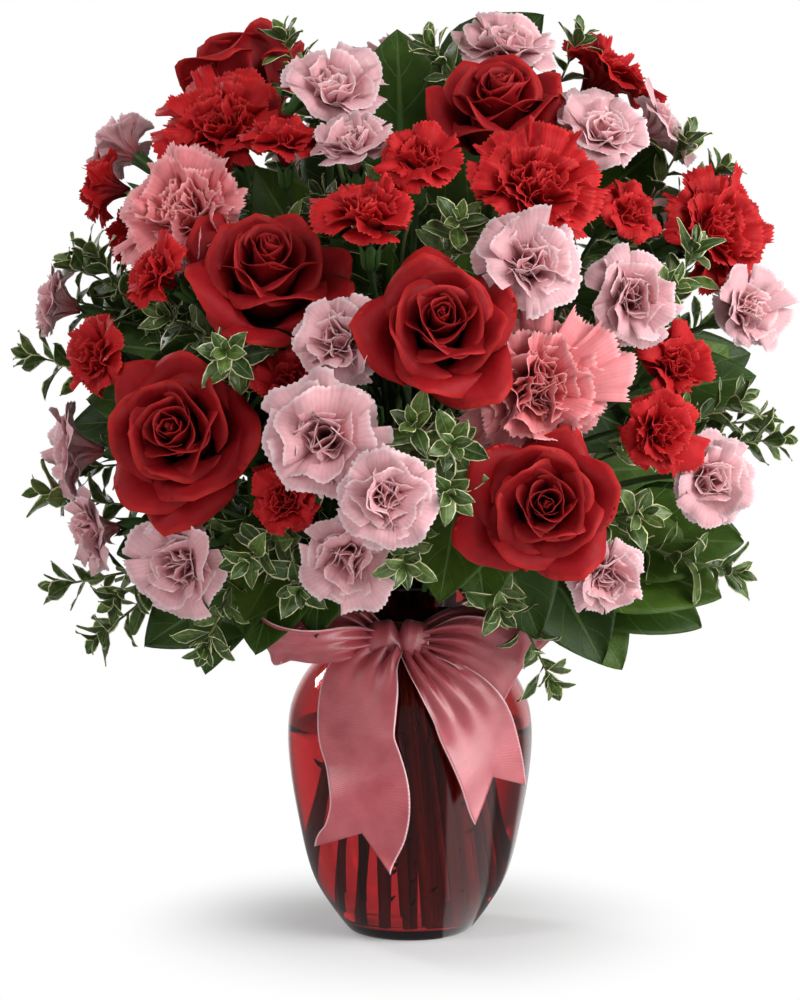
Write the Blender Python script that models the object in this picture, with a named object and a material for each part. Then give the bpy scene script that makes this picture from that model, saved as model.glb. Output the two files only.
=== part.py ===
"""A rose bouquet in a ruby glass vase, tied with a ribbon bow.

Every size is in millimetres and MM turns it into metres. The origin is the centre of the vase's
underside, +Z is up and the front of the bouquet faces -Y.

Cut stems stand in the vase like the ones in a hand-tied bouquet: each passes the neck in its own
place, runs down and out round the axis to the glass, and above the lip it curves out to its flower.
A route is tried against everything already placed until it touches nothing.
"""

import math

import bpy
from mathutils import Vector
from mathutils.bvhtree import BVHTree

MM = 0.001
GAP = 0.35  # between pieces that rest on each other

# Vase: the outside from foot to lip as (height, radius)
VASE_OUTSIDE = [
    (0, 29), (2, 31.3), (11, 38), (23, 45.4), (36, 50), (55, 54.1), (74, 57.4), (92, 59), (106, 58.2),
    (116, 55.2), (125, 50.3), (133, 43.5), (140, 36.2), (146, 30.8), (152, 28), (158, 28.8), (169, 35.5),
]
VASE_SIDES = 36
GLASS_WALL = 3.0
GLASS_FLOOR = 6.0
INNER_FLOOR_RADIUS = 30.0
CORNER_HEIGHT = 4.0  # of the slope between the glass floor and the wall
WATER_LEVEL = 100.0
WATER_LEVELS = (14, 30, 50, 75, WATER_LEVEL)  # heights of the rings round the water

# Where the stems pass the neck
NECK_HEIGHT = 152.0
NECK_REACH = 22.0  # furthest stem centre from the axis
NECK_PITCH = 6.1  # between neighbouring stems
FILL_LOW = Vector((-8.7, 14.3, WATER_LEVEL + 1))  # the gap left free at the back, to pour water in
FILL_HIGH = Vector((8.7, 22.7, 173.0))
FILL_MARGIN = 4.5  # from the gap to the nearest stem's middle
FOOT_SPREAD = 1.75  # how much wider the bundle stands on the glass than in the neck
FOOT_TWIST = math.radians(26)
FOOT_ROOM = 3.6  # from the middle of a stem's foot to the glass beside it

# Stem radii and sides
ROSE_STEM = 2.4
CARNATION_STEM = 1.9
SPRAY_STEM = 1.7
BRANCH = 1.2
SPRIG_STEM = 1.4
STEM_CLEARANCE = 0.55  # round a stem while its route is chosen
BEND_STEPS = 6  # straight stretches in a stem's bend above the neck

# Flower outlines along the flower's own axis: (distance, radius), both in flower radii
ROSE_HEAD = [(-0.95, 0.2), (-0.7, 0.55), (-0.3, 0.82), (0.05, 1.0), (0.3, 0.74), (0.42, 0.36)]
ROSE_HIP = 9.0  # length of the swelling under the petals
ROSE_HIP_SHAPE = [(0.35, 4.2), (0.8, 6.2), (1.0, 5.4)]  # (share of that length, radius)
CARNATION_HEAD = [(-0.55, 0.18), (-0.32, 0.66), (-0.02, 1.0), (0.3, 0.85), (0.5, 0.42)]
CARNATION_CALYX = [(-1.3, 0.07), (-1.22, 0.13), (-0.8, 0.17), (-0.565, 0.18)]
SPRAY_HEAD = [(-1.3, 0.07), (-1.2, 0.13), (-0.52, 0.2), (-0.1, 1.0), (0.42, 0.62)]

# Flowers: name, x, y, z, diameter, turn (0 faces the front, 90 the right) and lift above level
ROSES = [
    ("rose_1", -82, 28, 414, 68, -140, 50),
    ("rose_2", 39, -54, 395, 65, 0, 52),
    ("rose_3", -63, -101, 321, 70, 10, 45),
    ("rose_4", 14, -148, 297, 64, 3, 25),
    ("rose_5", -104, -112, 250, 70, -15, 15),
    ("rose_6", 58, -142, 221, 64, 0, 12),
    ("rose_7", -5, 142, 300, 66, 182, 22),
]
CARNATIONS = [
    ("carnation_red_1", -87, -19, 382, 60, -15, 45),
    ("carnation_red_2", 54, -93, 354, 60, 15, 35),
    ("carnation_red_3", 140, -18, 335, 60, 45, 15),
    ("carnation_red_4", 92, 28, 409, 50, 90, 50),
    ("carnation_pink_1", -100, -60, 342, 64, -25, 30),
    ("carnation_pink_2", 54, -112, 268, 68, 10, 5),
    ("carnation_pink_3", 80, 118, 277, 62, 145, 12),
]
# A spray's first flower is on its main stem, and the others are on side branches
SPRAYS = [
    ("spray_pink_1", [(-36, -40, 398, 48, 5, 55), (-26, -77, 373, 38, -10, 55)]),
    ("spray_pink_2", [(45, -6, 420, 46, 10, 50), (87, -50, 380, 44, 10, 40), (116, 2, 384, 40, 80, 30)]),
    ("spray_pink_3", [(-136, 15, 376, 34, -130, 30), (-165, -10, 302, 34, -80, 15)]),
    ("spray_pink_4", [(97, -99, 307, 42, 15, 10), (50, -127, 322, 44, 0, 25), (154, -42, 300, 38, 32, 15)]),
    ("spray_pink_5", [
        (-31, -130, 289, 42, -10, 15), (-37, -143, 248, 52, -5, 5), (-11, -159, 225, 42, 5, 0),
        (-27, -125, 196, 40, -5, -10),
    ]),
    ("spray_pink_6", [
        (-144, -50, 199, 36, -60, -5), (-155, -30, 234, 42, -80, 0), (-101, -98, 189, 44, -20, -5),
    ]),
    ("spray_pink_7", [(134, -77, 225, 40, 24, 0), (86, -100, 184, 36, 20, -10)]),
    ("spray_red_1", [
        (-111, -92, 317, 34, -45, 30), (-142, -10, 357, 36, -95, 10), (-139, -70, 280, 38, -45, 10),
    ]),
    ("spray_red_2", [(4, -94, 366, 38, 5, 45), (-57, -61, 375, 34, 0, 60), (-18, -116, 342, 44, 0, 50)]),
    ("spray_red_3", [(-53, -105, 269, 36, 0, 40), (-54, -115, 219, 32, -10, 20)]),
    ("spray_red_4", [(117, -85, 276, 38, 30, 20), (96, -75, 344, 32, 40, 25), (108, -110, 249, 38, 20, 0)]),
    ("spray_pink_8", [(-2, 62, 412, 48, 170, 60), (46, 96, 372, 46, 160, 40), (-47, 100, 370, 46, 195, 40)]),
    ("spray_red_5", [
        (-95, 105, 318, 46, 215, 25), (-130, 62, 335, 42, 245, 25), (-142, 66, 268, 44, 240, 10),
        (-88, 128, 255, 46, 212, 10), (-35, 142, 228, 46, 190, 5),
    ]),
    ("spray_pink_9", [
        (118, 84, 340, 44, 125, 25), (150, 42, 318, 42, 100, 20), (142, 76, 255, 44, 120, 10),
        (45, 138, 222, 46, 165, 5), (103, 112, 202, 44, 140, 0),
    ]),
]

# Foliage: name, tip x, y, z, turn and lift of the tip
SALAL = [
    ("salal_1", -68, -42, 182, -60, -15),
    ("salal_2", 84, -40, 182, 65, -15),
    ("salal_3", 108, 22, 268, 95, 15),
    ("salal_4", -6, 18, 376, -20, 80),
    ("salal_5", 20, -46, 194, 20, -20),
]
PITTOSPORUM = [
    ("pittosporum_1", -158, -2, 278, -90, 20),
    ("pittosporum_2", -52, -16, 420, -70, 65),
    ("pittosporum_3", -140, -22, 172, -80, -20),
    ("pittosporum_4", 150, -10, 240, 90, -5),
    ("pittosporum_5", 72, -48, 150, 55, -40),
]
# Leaf length, width, thickness, how many and the share of the stem that carries them
SALAL_LEAF = (66, 46, 1.3, 5, 0.42)
PITTOSPORUM_LEAF = (22, 9, 1.2, 8, 0.5)
PETIOLE = 0.7
LEAF_TURN = 137.5  # from leaf to leaf round the twig, in degrees
LEAF_TURN_STEP = 30  # further round for each place that is taken
LEAF_LEAN = 0.9  # how far a leaf stands off its twig, and the one at the tip
TIP_LEAF_LEAN = 0.15
LEAF_STATIONS = [(0.0, 0.0), (0.2, 0.62), (0.55, 1.0), (1.0, 0.08)]

# Ribbon: 38 mm wide, gathered where it passes the knot
RIBBON_THICKNESS = 1.0
BAND = [(143.5, 33.6), (143.5, 36.2), (148, 33.4), (154, 31.6), (154, 28.9), (148, 30.0)]
KNOT_CENTRE = Vector((-6, -43, 146))
KNOT_HALF = Vector((14, 7.0, 8.5))
# Along each ribbon: x, y, z of its middle, and its half width
LOOP_LEFT = [
    (-20.8, -45.5, 147, 5), (-33, -55, 148, 9), (-52, -60, 147, 13), (-66, -57, 146, 15),
    (-71, -51, 146, 15.5), (-66, -46, 147, 15), (-50, -43, 150, 12), (-34, -41, 151, 8),
    (-20.8, -40.5, 149, 5),
]
LOOP_RIGHT = [
    (9.5, -46, 147, 5), (22, -56, 145, 9), (38, -61, 139, 15), (48, -58, 134, 18), (51, -53, 133, 18.5),
    (48, -48, 136, 18), (36, -44, 145, 13), (22, -41, 150, 8), (8.8, -40.5, 149, 5),
]
TAIL_LEFT = [
    (-13, -45.5, 137.6, 6), (-17, -52, 131, 12), (-21, -55.5, 122, 17), (-24, -56.5, 112, 19),
    (-24.5, -56, 100, 19), (-23.5, -56, 88, 19), (-20.5, -56, 75, 19), (-19, -55, 66, 19), (-21, -54, 57, 19),
]
TAIL_RIGHT = [
    (1, -45.5, 137.2, 5), (5, -51, 130, 6), (11, -56, 121, 10), (20, -57, 111.5, 14),
    (29.5, -55, 101, 17.5), (35.5, -51.5, 90, 19), (39.5, -48, 79, 19),
]
TAIL_TIP = 17.0  # how far the points of a tail reach past its notch

# Finish of each material: red, green, blue, roughness
RUBY_GLASS = (0.28, 0.01, 0.02, 0.05)
WATER = (0.6, 0.3, 0.3, 0.1)
RIBBON = (0.72, 0.3, 0.34, 0.45)
ROSE_RED = (0.42, 0.01, 0.02, 0.6)
CARNATION_RED = (0.55, 0.02, 0.02, 0.7)
CARNATION_PINK = (0.8, 0.36, 0.37, 0.7)
SPRAY_PINK = (0.85, 0.55, 0.58, 0.7)
STEM_GREEN = (0.13, 0.24, 0.07, 0.6)
SALAL_GREEN = (0.04, 0.13, 0.03, 0.4)
PITTOSPORUM_GREEN = (0.16, 0.23, 0.1, 0.5)


# ---------------------------------------------------------------- plain geometry

def facing(turn, lift):
    """The unit vector with this turn and lift, both in degrees."""
    turn = math.radians(turn)
    lift = math.radians(lift)
    return Vector((math.sin(turn) * math.cos(lift), -math.cos(turn) * math.cos(lift), math.sin(lift)))


def bezier(start, leave, arrive, end, steps):
    """Points of a cubic curve, with the start left out."""
    points = []
    for i in range(1, steps + 1):
        t = i / steps
        s = 1 - t
        points.append(start * s**3 + leave * 3 * s * s * t + arrive * 3 * s * t * t + end * t**3)
    return points


def directions(points):
    """The direction of a line of points at each point."""
    found = []
    last = len(points) - 1
    for i in range(last + 1):
        ahead = (points[min(i + 1, last)] - points[min(i, last - 1)]).normalized()
        behind = (points[max(i, 1)] - points[max(i - 1, 0)]).normalized()
        found.append((ahead + behind).normalized())
    return found


def side_vectors(points):
    """Two vectors square to the line at each point, which don't twist along it."""
    pairs = []
    side = Vector((1, 0, 0))
    for way in directions(points):
        side = (side - way * side.dot(way)).normalized()
        pairs.append((side, way.cross(side)))
    return pairs


def skin(rings):
    """A closed shape through rings of as many points each: (points, faces)."""
    count = len(rings[0])
    points = [point for ring in rings for point in ring]
    faces = [tuple(range(count - 1, -1, -1))]
    for level in range(len(rings) - 1):
        low = level * count
        for k in range(count):
            following = (k + 1) % count
            faces.append((low + k, low + following, low + count + following, low + count + k))
    top = (len(rings) - 1) * count
    faces.append(tuple(range(top, top + count)))
    return points, faces


def tube(points, radii, sides):
    """A round bar along a line of points."""
    rings = []
    for centre, radius, (across, up) in zip(points, radii, side_vectors(points)):
        angles = [2 * math.pi * k / sides for k in range(sides)]
        rings.append([centre + across * (radius * math.cos(a)) + up * (radius * math.sin(a)) for a in angles])
    return skin(rings)


def lathe(outline, sides):
    """A turned shape round Z from (height, radius) pairs, flat at both ends."""
    rings = []
    for height, radius in outline:
        angles = [2 * math.pi * k / sides for k in range(sides)]
        rings.append([Vector((radius * math.cos(a), radius * math.sin(a), height)) for a in angles])
    return skin(rings)


def strip(stations, width_way, tips=0.0):
    """A flat ribbon along stations of (x, y, z, half width). tips lengthens its last corners."""
    centres = [Vector(station[:3]) for station in stations]
    rings = []
    for i, way in enumerate(directions(centres)):
        across = width_way(centres[i])
        across = (across - way * across.dot(way)).normalized() * stations[i][3]
        lift = way.cross(across).normalized() * (RIBBON_THICKNESS / 2)
        reach = way * tips if i == len(centres) - 1 else Vector()
        right = centres[i] + across + reach
        left = centres[i] - across + reach
        middle = centres[i]
        rings.append([right + lift, middle + lift, left + lift, left - lift, middle - lift, right - lift])
    return skin(rings)


def block(low, high):
    """A box from its lowest corner to its highest one."""
    rings = []
    for z in (low.z, high.z):
        corners = [(low.x, low.y), (high.x, low.y), (high.x, high.y), (low.x, high.y)]
        rings.append([Vector((x, y, z)) for x, y in corners])
    return skin(rings)


def leaf_blade(base, way, face, size):
    """A thin closed leaf from base along way, with its upper side towards face."""
    length, width, thickness = size
    across = way.cross(face).normalized()
    upper = across.cross(way).normalized()
    rings = []
    for along, share in LEAF_STATIONS:
        droop = upper * (-0.12 * length * along * along)
        centre = base + way * (length * along) + droop
        half = max(PETIOLE, width / 2 * share)
        thick = PETIOLE if along == 0 else thickness / 2
        edge = across * half
        top = upper * thick
        rings.append([centre - top, centre - edge, centre + top, centre + edge])
    return skin(rings)


def stretched(outline, centre, way, radius):
    """Points and radii along a flower's axis, from its outline in flower radii."""
    points = [centre + way * (distance * radius) for distance, _ in outline]
    return points, [share * radius for _, share in outline]


# ---------------------------------------------------------------- pieces already placed

placed = {}


def note(name, shape):
    """Remembers a shape, so that later routes keep clear of it."""
    placed.setdefault(name, []).append(shape)


def obstacles(*left_out):
    """A search tree of everything placed but the names left out."""
    points = []
    faces = []
    for name, shapes in placed.items():
        if name in left_out:
            continue
        for shape_points, shape_faces in shapes:
            offset = len(points)
            points.extend(shape_points)
            faces.extend(tuple(offset + i for i in face) for face in shape_faces)
    return BVHTree.FromPolygons(points, faces)


def is_clear(shape, tree):
    return not BVHTree.FromPolygons(*shape).overlap(tree)


# ---------------------------------------------------------------- Blender objects

for old in list(bpy.data.objects):
    bpy.data.objects.remove(old, do_unlink=True)

bouquet = bpy.data.objects.new("bouquet", None)
bpy.context.scene.collection.objects.link(bouquet)


def make_material(name, finish):
    red, green, blue, roughness = finish
    material = bpy.data.materials.new(name)
    material.use_nodes = True
    shader = material.node_tree.nodes["Principled BSDF"]
    shader.inputs["Base Color"].default_value = (red, green, blue, 1)
    shader.inputs["Roughness"].default_value = roughness
    material.diffuse_color = (red, green, blue, 1)
    return material


def make_object(name, shape, finish):
    """One closed object, in metres, with its own material."""
    points, faces = shape
    mesh = bpy.data.meshes.new(name)
    mesh.from_pydata([point * MM for point in points], [], faces)
    mesh.materials.append(make_material(name, finish))
    obj = bpy.data.objects.new(name, mesh)
    obj.parent = bouquet
    bpy.context.scene.collection.objects.link(obj)
    return obj


def combine(obj, shapes, operation):
    """Joins shapes to obj, or cuts them from it, and leaves one closed solid."""
    group = bpy.data.collections.new("operands")
    helpers = []
    for shape in shapes:
        helper = make_object("operand", shape, STEM_GREEN)
        group.objects.link(helper)
        helpers.append(helper)
    boolean = obj.modifiers.new("join", "BOOLEAN")
    boolean.operand_type = "COLLECTION"
    boolean.collection = group
    boolean.operation = operation
    boolean.solver = "EXACT"
    evaluated = obj.evaluated_get(bpy.context.evaluated_depsgraph_get())
    joined = bpy.data.meshes.new_from_object(evaluated)
    obj.modifiers.clear()
    obj.data = joined
    finish = joined.materials[0]
    joined.materials.clear()
    joined.materials.append(finish)
    for helper in helpers:
        bpy.data.objects.remove(helper, do_unlink=True)
    bpy.data.collections.remove(group)


# ---------------------------------------------------------------- vase, water and ribbon

def wall_inside(outline, wall):
    """The inner line of a wall: each point moved square to the outline by the wall's thickness."""
    moved = []
    for i, (height, radius) in enumerate(outline):
        before = outline[max(i - 1, 0)]
        after = outline[min(i + 1, len(outline) - 1)]
        rise = after[0] - before[0]
        run = after[1] - before[1]
        length = math.hypot(rise, run)
        moved.append((height + wall * run / length, radius - wall * rise / length))
    return moved


def inside_above(height):
    """The inner line of the glass above a height, starting at that height."""
    line = wall_inside(VASE_OUTSIDE, GLASS_WALL)
    above = [pair for pair in line if pair[0] > height + 0.5]
    below = [pair for pair in line if pair[0] <= height + 0.5]
    if not below:
        return above
    low, high = below[-1], above[0]
    share = (height - low[0]) / (high[0] - low[0])
    return [(height, low[1] + share * (high[1] - low[1]))] + above


def radius_inside(height):
    return inside_above(height)[0][1]


def glass_inside():
    """The inner line of the glass from its floor to just under the lip."""
    rim_height = VASE_OUTSIDE[-1][0]
    above = [pair for pair in inside_above(GLASS_FLOOR + CORNER_HEIGHT) if pair[0] < rim_height - 1]
    return [(GLASS_FLOOR, INNER_FLOOR_RADIUS)] + above


def make_vase():
    rim_height, rim_radius = VASE_OUTSIDE[-1]
    inside = glass_inside()
    rim = [(rim_height, rim_radius - GLASS_WALL)]
    shape = lathe(VASE_OUTSIDE + rim + list(reversed(inside)), VASE_SIDES)
    note("vase", shape)
    make_object("vase", shape, RUBY_GLASS)


def make_water(stem_lines):
    """The water fills the glass up to its level, round every stem."""
    outline = [(GLASS_FLOOR + GAP, INNER_FLOOR_RADIUS - 2 * GAP)]
    outline += [(level, radius_inside(level) - 3 * GAP) for level in WATER_LEVELS]
    water = make_object("water", lathe(outline, VASE_SIDES), WATER)
    holes = []
    for foot, slot, radius, sides in stem_lines:
        way = (slot - foot).normalized()
        holes.append(tube([foot - way * 2 * GAP, slot], [radius + 1.3 * GAP] * 2, sides))
    combine(water, holes, "DIFFERENCE")


def upright(_centre):
    return Vector((0, 0, 1))


def leaning(_centre):
    return Vector((0.45, 0, 0.9))


def round_vase(centre):
    """Level, and along the glass at this place."""
    return Vector((-centre.y, centre.x * 0.6, 0))


def make_ribbon():
    band = lathe([(z, r) for z, r in BAND] + [BAND[0]], VASE_SIDES)
    points, faces = band
    ring = len(points) - VASE_SIDES
    closed = [tuple(i if i < ring else i - ring for i in face) for face in faces[1:-1]]
    shapes = {
        "ribbon_band": (points[:ring], closed),
        "bow_knot": knot_shape(),
        "bow_loop_left": strip(LOOP_LEFT, upright),
        "bow_loop_right": strip(LOOP_RIGHT, leaning),
        "ribbon_tail_left": strip(TAIL_LEFT, round_vase, TAIL_TIP),
        "ribbon_tail_right": strip(TAIL_RIGHT, round_vase, TAIL_TIP),
    }
    for name, shape in shapes.items():
        note(name, shape)
        make_object(name, shape, RIBBON)


def knot_shape():
    """A soft pillow: a stretched ball cut square at both ends."""
    sides = 10
    rings = []
    for along, share in [(-1, 0.55), (-0.6, 0.9), (0, 1), (0.6, 0.9), (1, 0.55)]:
        centre = KNOT_CENTRE + Vector((KNOT_HALF.x * along, 0, 0))
        angles = [2 * math.pi * k / sides for k in range(sides)]
        rings.append([
            centre + Vector((0, KNOT_HALF.y * share * math.cos(a), KNOT_HALF.z * share * math.sin(a)))
            for a in angles
        ])
    return skin(rings)


# ---------------------------------------------------------------- places in the neck

def neck_places():
    """Every place in the neck: a honeycomb without the gap at the back."""
    row_height = NECK_PITCH * math.sqrt(3) / 2
    rows = int(NECK_REACH / row_height) + 1
    places = []
    for row in range(-rows, rows + 1):
        for column in range(-rows - 1, rows + 2):
            x = (column + (row % 2) / 2) * NECK_PITCH
            y = row * row_height
            in_gap = abs(x) < FILL_HIGH.x + FILL_MARGIN and y > FILL_LOW.y - FILL_MARGIN
            if math.hypot(x, y) <= NECK_REACH and not in_gap:
                places.append(Vector((x, y, NECK_HEIGHT)))
    return places


def wanted_place(aim):
    """Where in the neck a stem with this far point would pass best."""
    centre = Vector((0, 0, NECK_HEIGHT))
    way = (aim - centre).normalized()
    lean = math.acos(max(-1.0, min(1.0, way.z)))
    flat = Vector((way.x, way.y, 0))
    if flat.length > 0:
        flat.normalize()
    return centre + flat * (NECK_REACH * math.sin(min(lean, math.pi / 2) * 0.5) * math.sqrt(2))


def share_places(aims):
    """Gives every stem a place of its own, with the least moving about in all."""
    places = neck_places()
    names = list(aims)
    wanted = {name: wanted_place(aims[name]) for name in names}
    chosen = dict(zip(names, range(len(names))))
    spare = list(range(len(names), len(places)))

    def cost(name, index):
        return (places[index] - wanted[name]).length_squared

    improving = True
    while improving:
        improving = False
        for first in names:
            for i, index in enumerate(spare):
                if cost(first, index) < cost(first, chosen[first]) - 1e-6:
                    spare[i], chosen[first] = chosen[first], index
                    improving = True
                    break
            for second in names:
                now = cost(first, chosen[first]) + cost(second, chosen[second])
                swapped = cost(first, chosen[second]) + cost(second, chosen[first])
                if swapped < now - 1e-6:
                    chosen[first], chosen[second] = chosen[second], chosen[first]
                    improving = True
    return {name: places[chosen[name]] for name in names}


def seat_height(reach):
    """The lowest height inside the glass with room for a stem this far from the axis."""
    line = glass_inside()
    for (low, narrow), (high, wide) in zip(line, line[1:]):
        if reach + FOOT_ROOM <= wide:
            share = max(0.0, (reach + FOOT_ROOM - narrow) / (wide - narrow))
            return low + share * (high - low)
    raise ValueError("a foot lies outside the glass")


def foot_of(place):
    """Where a stem that passes the neck here stands: on the glass floor, or leaning on the wall above it."""
    turned = complex(place.x, place.y) * FOOT_SPREAD * complex(math.cos(FOOT_TWIST), math.sin(FOOT_TWIST))
    return Vector((turned.real, turned.imag, seat_height(abs(turned)) + 3 * GAP))


# ---------------------------------------------------------------- routes

def bulges(way):
    """Sideways pushes on a route, the smallest first."""
    side = way.orthogonal().normalized()
    other = way.cross(side).normalized()
    yield Vector()
    for size in (6, 12, 20, 30):
        for k in range(8):
            angle = math.pi * k / 4
            yield side * (size * math.cos(angle)) + other * (size * math.sin(angle))


def routes(start, start_way, end, end_way, steps=BEND_STEPS):
    """Curves from start to end, from the plainest to the most bent."""
    reach = (end - start).length
    for push in bulges((end - start).normalized()):
        for leave in (0.3, 0.45, 0.18, 0.6):
            for arrive in (0.3, 0.18, 0.45):
                near = start + start_way * (reach * leave) + push
                far = end - end_way * (reach * arrive) + push
                yield bezier(start, near, far, end, steps)


def grow_stem(name, place, end, end_way, radius, sides, tree):
    """The line of a whole stem from its foot in the glass to end, clear of everything in the tree."""
    foot = foot_of(place)
    way = (place - foot).normalized()
    for curve in routes(place, way, end, end_way):
        line = [foot, place] + curve
        if is_clear(tube(line, [radius + STEM_CLEARANCE] * len(line), sides), tree):
            return line
    print("no clear route for", name)
    return line


def grow_branch(name, stem, end, end_way, tree):
    """A side branch from the stem to end: its line, and the stem point it leaves from."""
    for back in (3, 4, 2, 5):
        index = len(stem) - 1 - back
        start = stem[index]
        along = (stem[index + 1] - stem[index - 1]).normalized()
        leaning_out = (along + (end - start).normalized()).normalized()
        for curve in routes(start, leaning_out, end, end_way, steps=3):
            line = [start] + curve
            if is_clear(tube(line, [BRANCH + STEM_CLEARANCE] * len(line), 6), tree):
                return line, index
    print("no clear branch for", name)
    return line, index


# ---------------------------------------------------------------- flowers

def head_shape(outline, centre, way, radius, sides, ruffle):
    """A flower head whose widest rings go in and out from petal to petal."""
    points, radii = stretched(outline, centre, way, radius)
    rings = []
    for level, (point, ring_radius, (across, up)) in enumerate(zip(points, radii, side_vectors(points))):
        ring = []
        for k in range(sides):
            wave = 1 - ruffle * (k % 2) if level > 0 else 1
            angle = 2 * math.pi * k / sides
            ring.append(point + (across * math.cos(angle) + up * math.sin(angle)) * (ring_radius * wave))
        rings.append(ring)
    return skin(rings)


def make_head(name, shape, centre, finish):
    """A head as an object whose origin is at its own centre."""
    points, faces = shape
    note(name, shape)
    head = make_object(name, ([point - centre for point in points], faces), finish)
    head.location = centre * MM


def make_spray(name, flowers, line, finish, tree):
    """One branched stem with its flowers, grown as one piece."""
    shapes = []
    swollen = set()
    for number, (centre, way, radius) in enumerate(flowers):
        points, radii = stretched(SPRAY_HEAD, centre, way, radius)
        if number == 0:
            route = line
            thickness = SPRAY_STEM
        else:
            route, fork = grow_branch(name, line, points[0], way, tree)
            thickness = BRANCH
            swollen.add(fork)
        shapes.append((route[:-1] + points, [thickness] * (len(route) - 1) + radii))
    main_points, main_radii = shapes[0]
    for fork in swollen:
        main_radii[fork] = SPRAY_STEM * 1.4
    solids = [tube(points, radii, 7) for points, radii in shapes]
    for solid in solids:
        note(name, solid)
    spray = make_object(name, solids[0], finish)
    if len(solids) > 1:
        combine(spray, solids[1:], "UNION")


def make_sprig(name, line, leaf, finish, tree):
    """A leafy twig: its leaves stand off it by turns, wherever there is room."""
    length, width, thickness, count, share = leaf
    stem = tube(line, [SPRIG_STEM] * (len(line) - 1) + [PETIOLE], 6)
    leaves = []
    for number in range(count):
        along = (len(line) - 1) * (1 - share * number / count)
        index = min(int(along), len(line) - 2)
        base = line[index].lerp(line[index + 1], min(along - index, 0.97))
        way = (line[index + 1] - line[index]).normalized()
        side = way.orthogonal().normalized()
        other = way.cross(side)
        for trial in range(12):
            angle = math.radians(LEAF_TURN * number + LEAF_TURN_STEP * trial)
            out = side * math.cos(angle) + other * math.sin(angle)
            lean = LEAF_LEAN if number else TIP_LEAF_LEAN
            blade = leaf_blade(base, (way + out * lean).normalized(), way, (length, width, thickness))
            if is_clear(blade, tree):
                leaves.append(blade)
                break
    note(name, stem)
    for blade in leaves:
        note(name, blade)
    sprig = make_object(name, stem, finish)
    if leaves:
        combine(sprig, leaves, "UNION")


# ---------------------------------------------------------------- the bouquet

def read_flower(row):
    """Centre, direction and radius of a flower from its row of numbers."""
    x, y, z, diameter, turn, lift = row
    return Vector((x, y, z)), facing(turn, lift), diameter / 2


def tip_of(row):
    x, y, z, turn, lift = row
    return Vector((x, y, z)), facing(turn, lift)


def build():
    make_vase()
    make_ribbon()
    note("room to pour water", block(FILL_LOW, FILL_HIGH))

    aims = {}
    for name, *row in ROSES + CARNATIONS:
        centre, way, radius = read_flower(row)
        aims[name] = centre - way * radius * 1.5
    for name, rows in SPRAYS:
        flowers = [read_flower(row) for row in rows]
        aims[name] = sum((centre for centre, _, _ in flowers), Vector()) / len(flowers)
    for name, *row in SALAL + PITTOSPORUM:
        aims[name] = tip_of(row)[0]
    places = share_places(aims)

    for name, *row in ROSES:
        centre, way, radius = read_flower(row)
        make_head(name + "_bloom", head_shape(ROSE_HEAD, centre, way, radius, 14, 0.04), centre, ROSE_RED)
    for name, *row in CARNATIONS:
        centre, way, radius = read_flower(row)
        finish = CARNATION_RED if "red" in name else CARNATION_PINK
        make_head(name + "_bloom", head_shape(CARNATION_HEAD, centre, way, radius, 12, 0.08), centre, finish)
    for name, rows in SPRAYS:
        for row in rows:
            points, radii = stretched(SPRAY_HEAD, *read_flower(row))
            note(name, tube(points, radii, 7))

    stem_lines = []
    for name, *row in ROSES:
        centre, way, radius = read_flower(row)
        seat = centre + way * (ROSE_HEAD[0][0] * radius - GAP)
        hip = seat - way * ROSE_HIP
        line = grow_stem(name, places[name], hip, way, ROSE_STEM, 7, obstacles(name + "_bloom"))
        points = line + [hip + way * (ROSE_HIP * along) for along, _ in ROSE_HIP_SHAPE]
        radii = [ROSE_STEM] * len(line) + [size for _, size in ROSE_HIP_SHAPE]
        stem = tube(points, radii, 7)
        note(name + "_stem", stem)
        make_object(name + "_stem", stem, STEM_GREEN)
        stem_lines.append((line[0], line[1], ROSE_STEM, 7))
    for name, *row in CARNATIONS:
        centre, way, radius = read_flower(row)
        points, radii = stretched(CARNATION_CALYX, centre, way, radius)
        line = grow_stem(name, places[name], points[0], way, CARNATION_STEM, 7, obstacles(name + "_bloom"))
        stem = tube(line[:-1] + points, [CARNATION_STEM] * (len(line) - 1) + radii, 7)
        note(name + "_stem", stem)
        make_object(name + "_stem", stem, STEM_GREEN)
        stem_lines.append((line[0], line[1], CARNATION_STEM, 7))
    for name, rows in SPRAYS:
        flowers = [read_flower(row) for row in rows]
        centre, way, radius = flowers[0]
        end = centre + way * (SPRAY_HEAD[0][0] * radius)
        tree = obstacles(name)
        line = grow_stem(name, places[name], end, way, SPRAY_STEM, 7, tree)
        make_spray(name, flowers, line, SPRAY_PINK if "pink" in name else CARNATION_RED, tree)
        stem_lines.append((line[0], line[1], SPRAY_STEM, 7))
    for name, *row in PITTOSPORUM + SALAL:
        tip, way = tip_of(row)
        tree = obstacles()
        line = grow_stem(name, places[name], tip, way, SPRIG_STEM, 6, tree)
        if "salal" in name:
            make_sprig(name, line, SALAL_LEAF, SALAL_GREEN, tree)
        else:
            make_sprig(name, line, PITTOSPORUM_LEAF, PITTOSPORUM_GREEN, tree)
        stem_lines.append((line[0], line[1], SPRIG_STEM, 6))
    make_water(stem_lines)


build()
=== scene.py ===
"""The looks of a rose bouquet in a ruby glass vase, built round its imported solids.

Sizes are in millimetres and MM turns them into metres. The origin is the centre of the vase's
underside, +Z is up and the front of the bouquet faces -Y. Each flower is made of petals, each leaf of a
blade and each ribbon of a cloth: all of them are thin closed shells made from one function of two
numbers, u from -1 to 1 across and v from 0 to 1 along.
"""

import functools
import math

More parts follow.
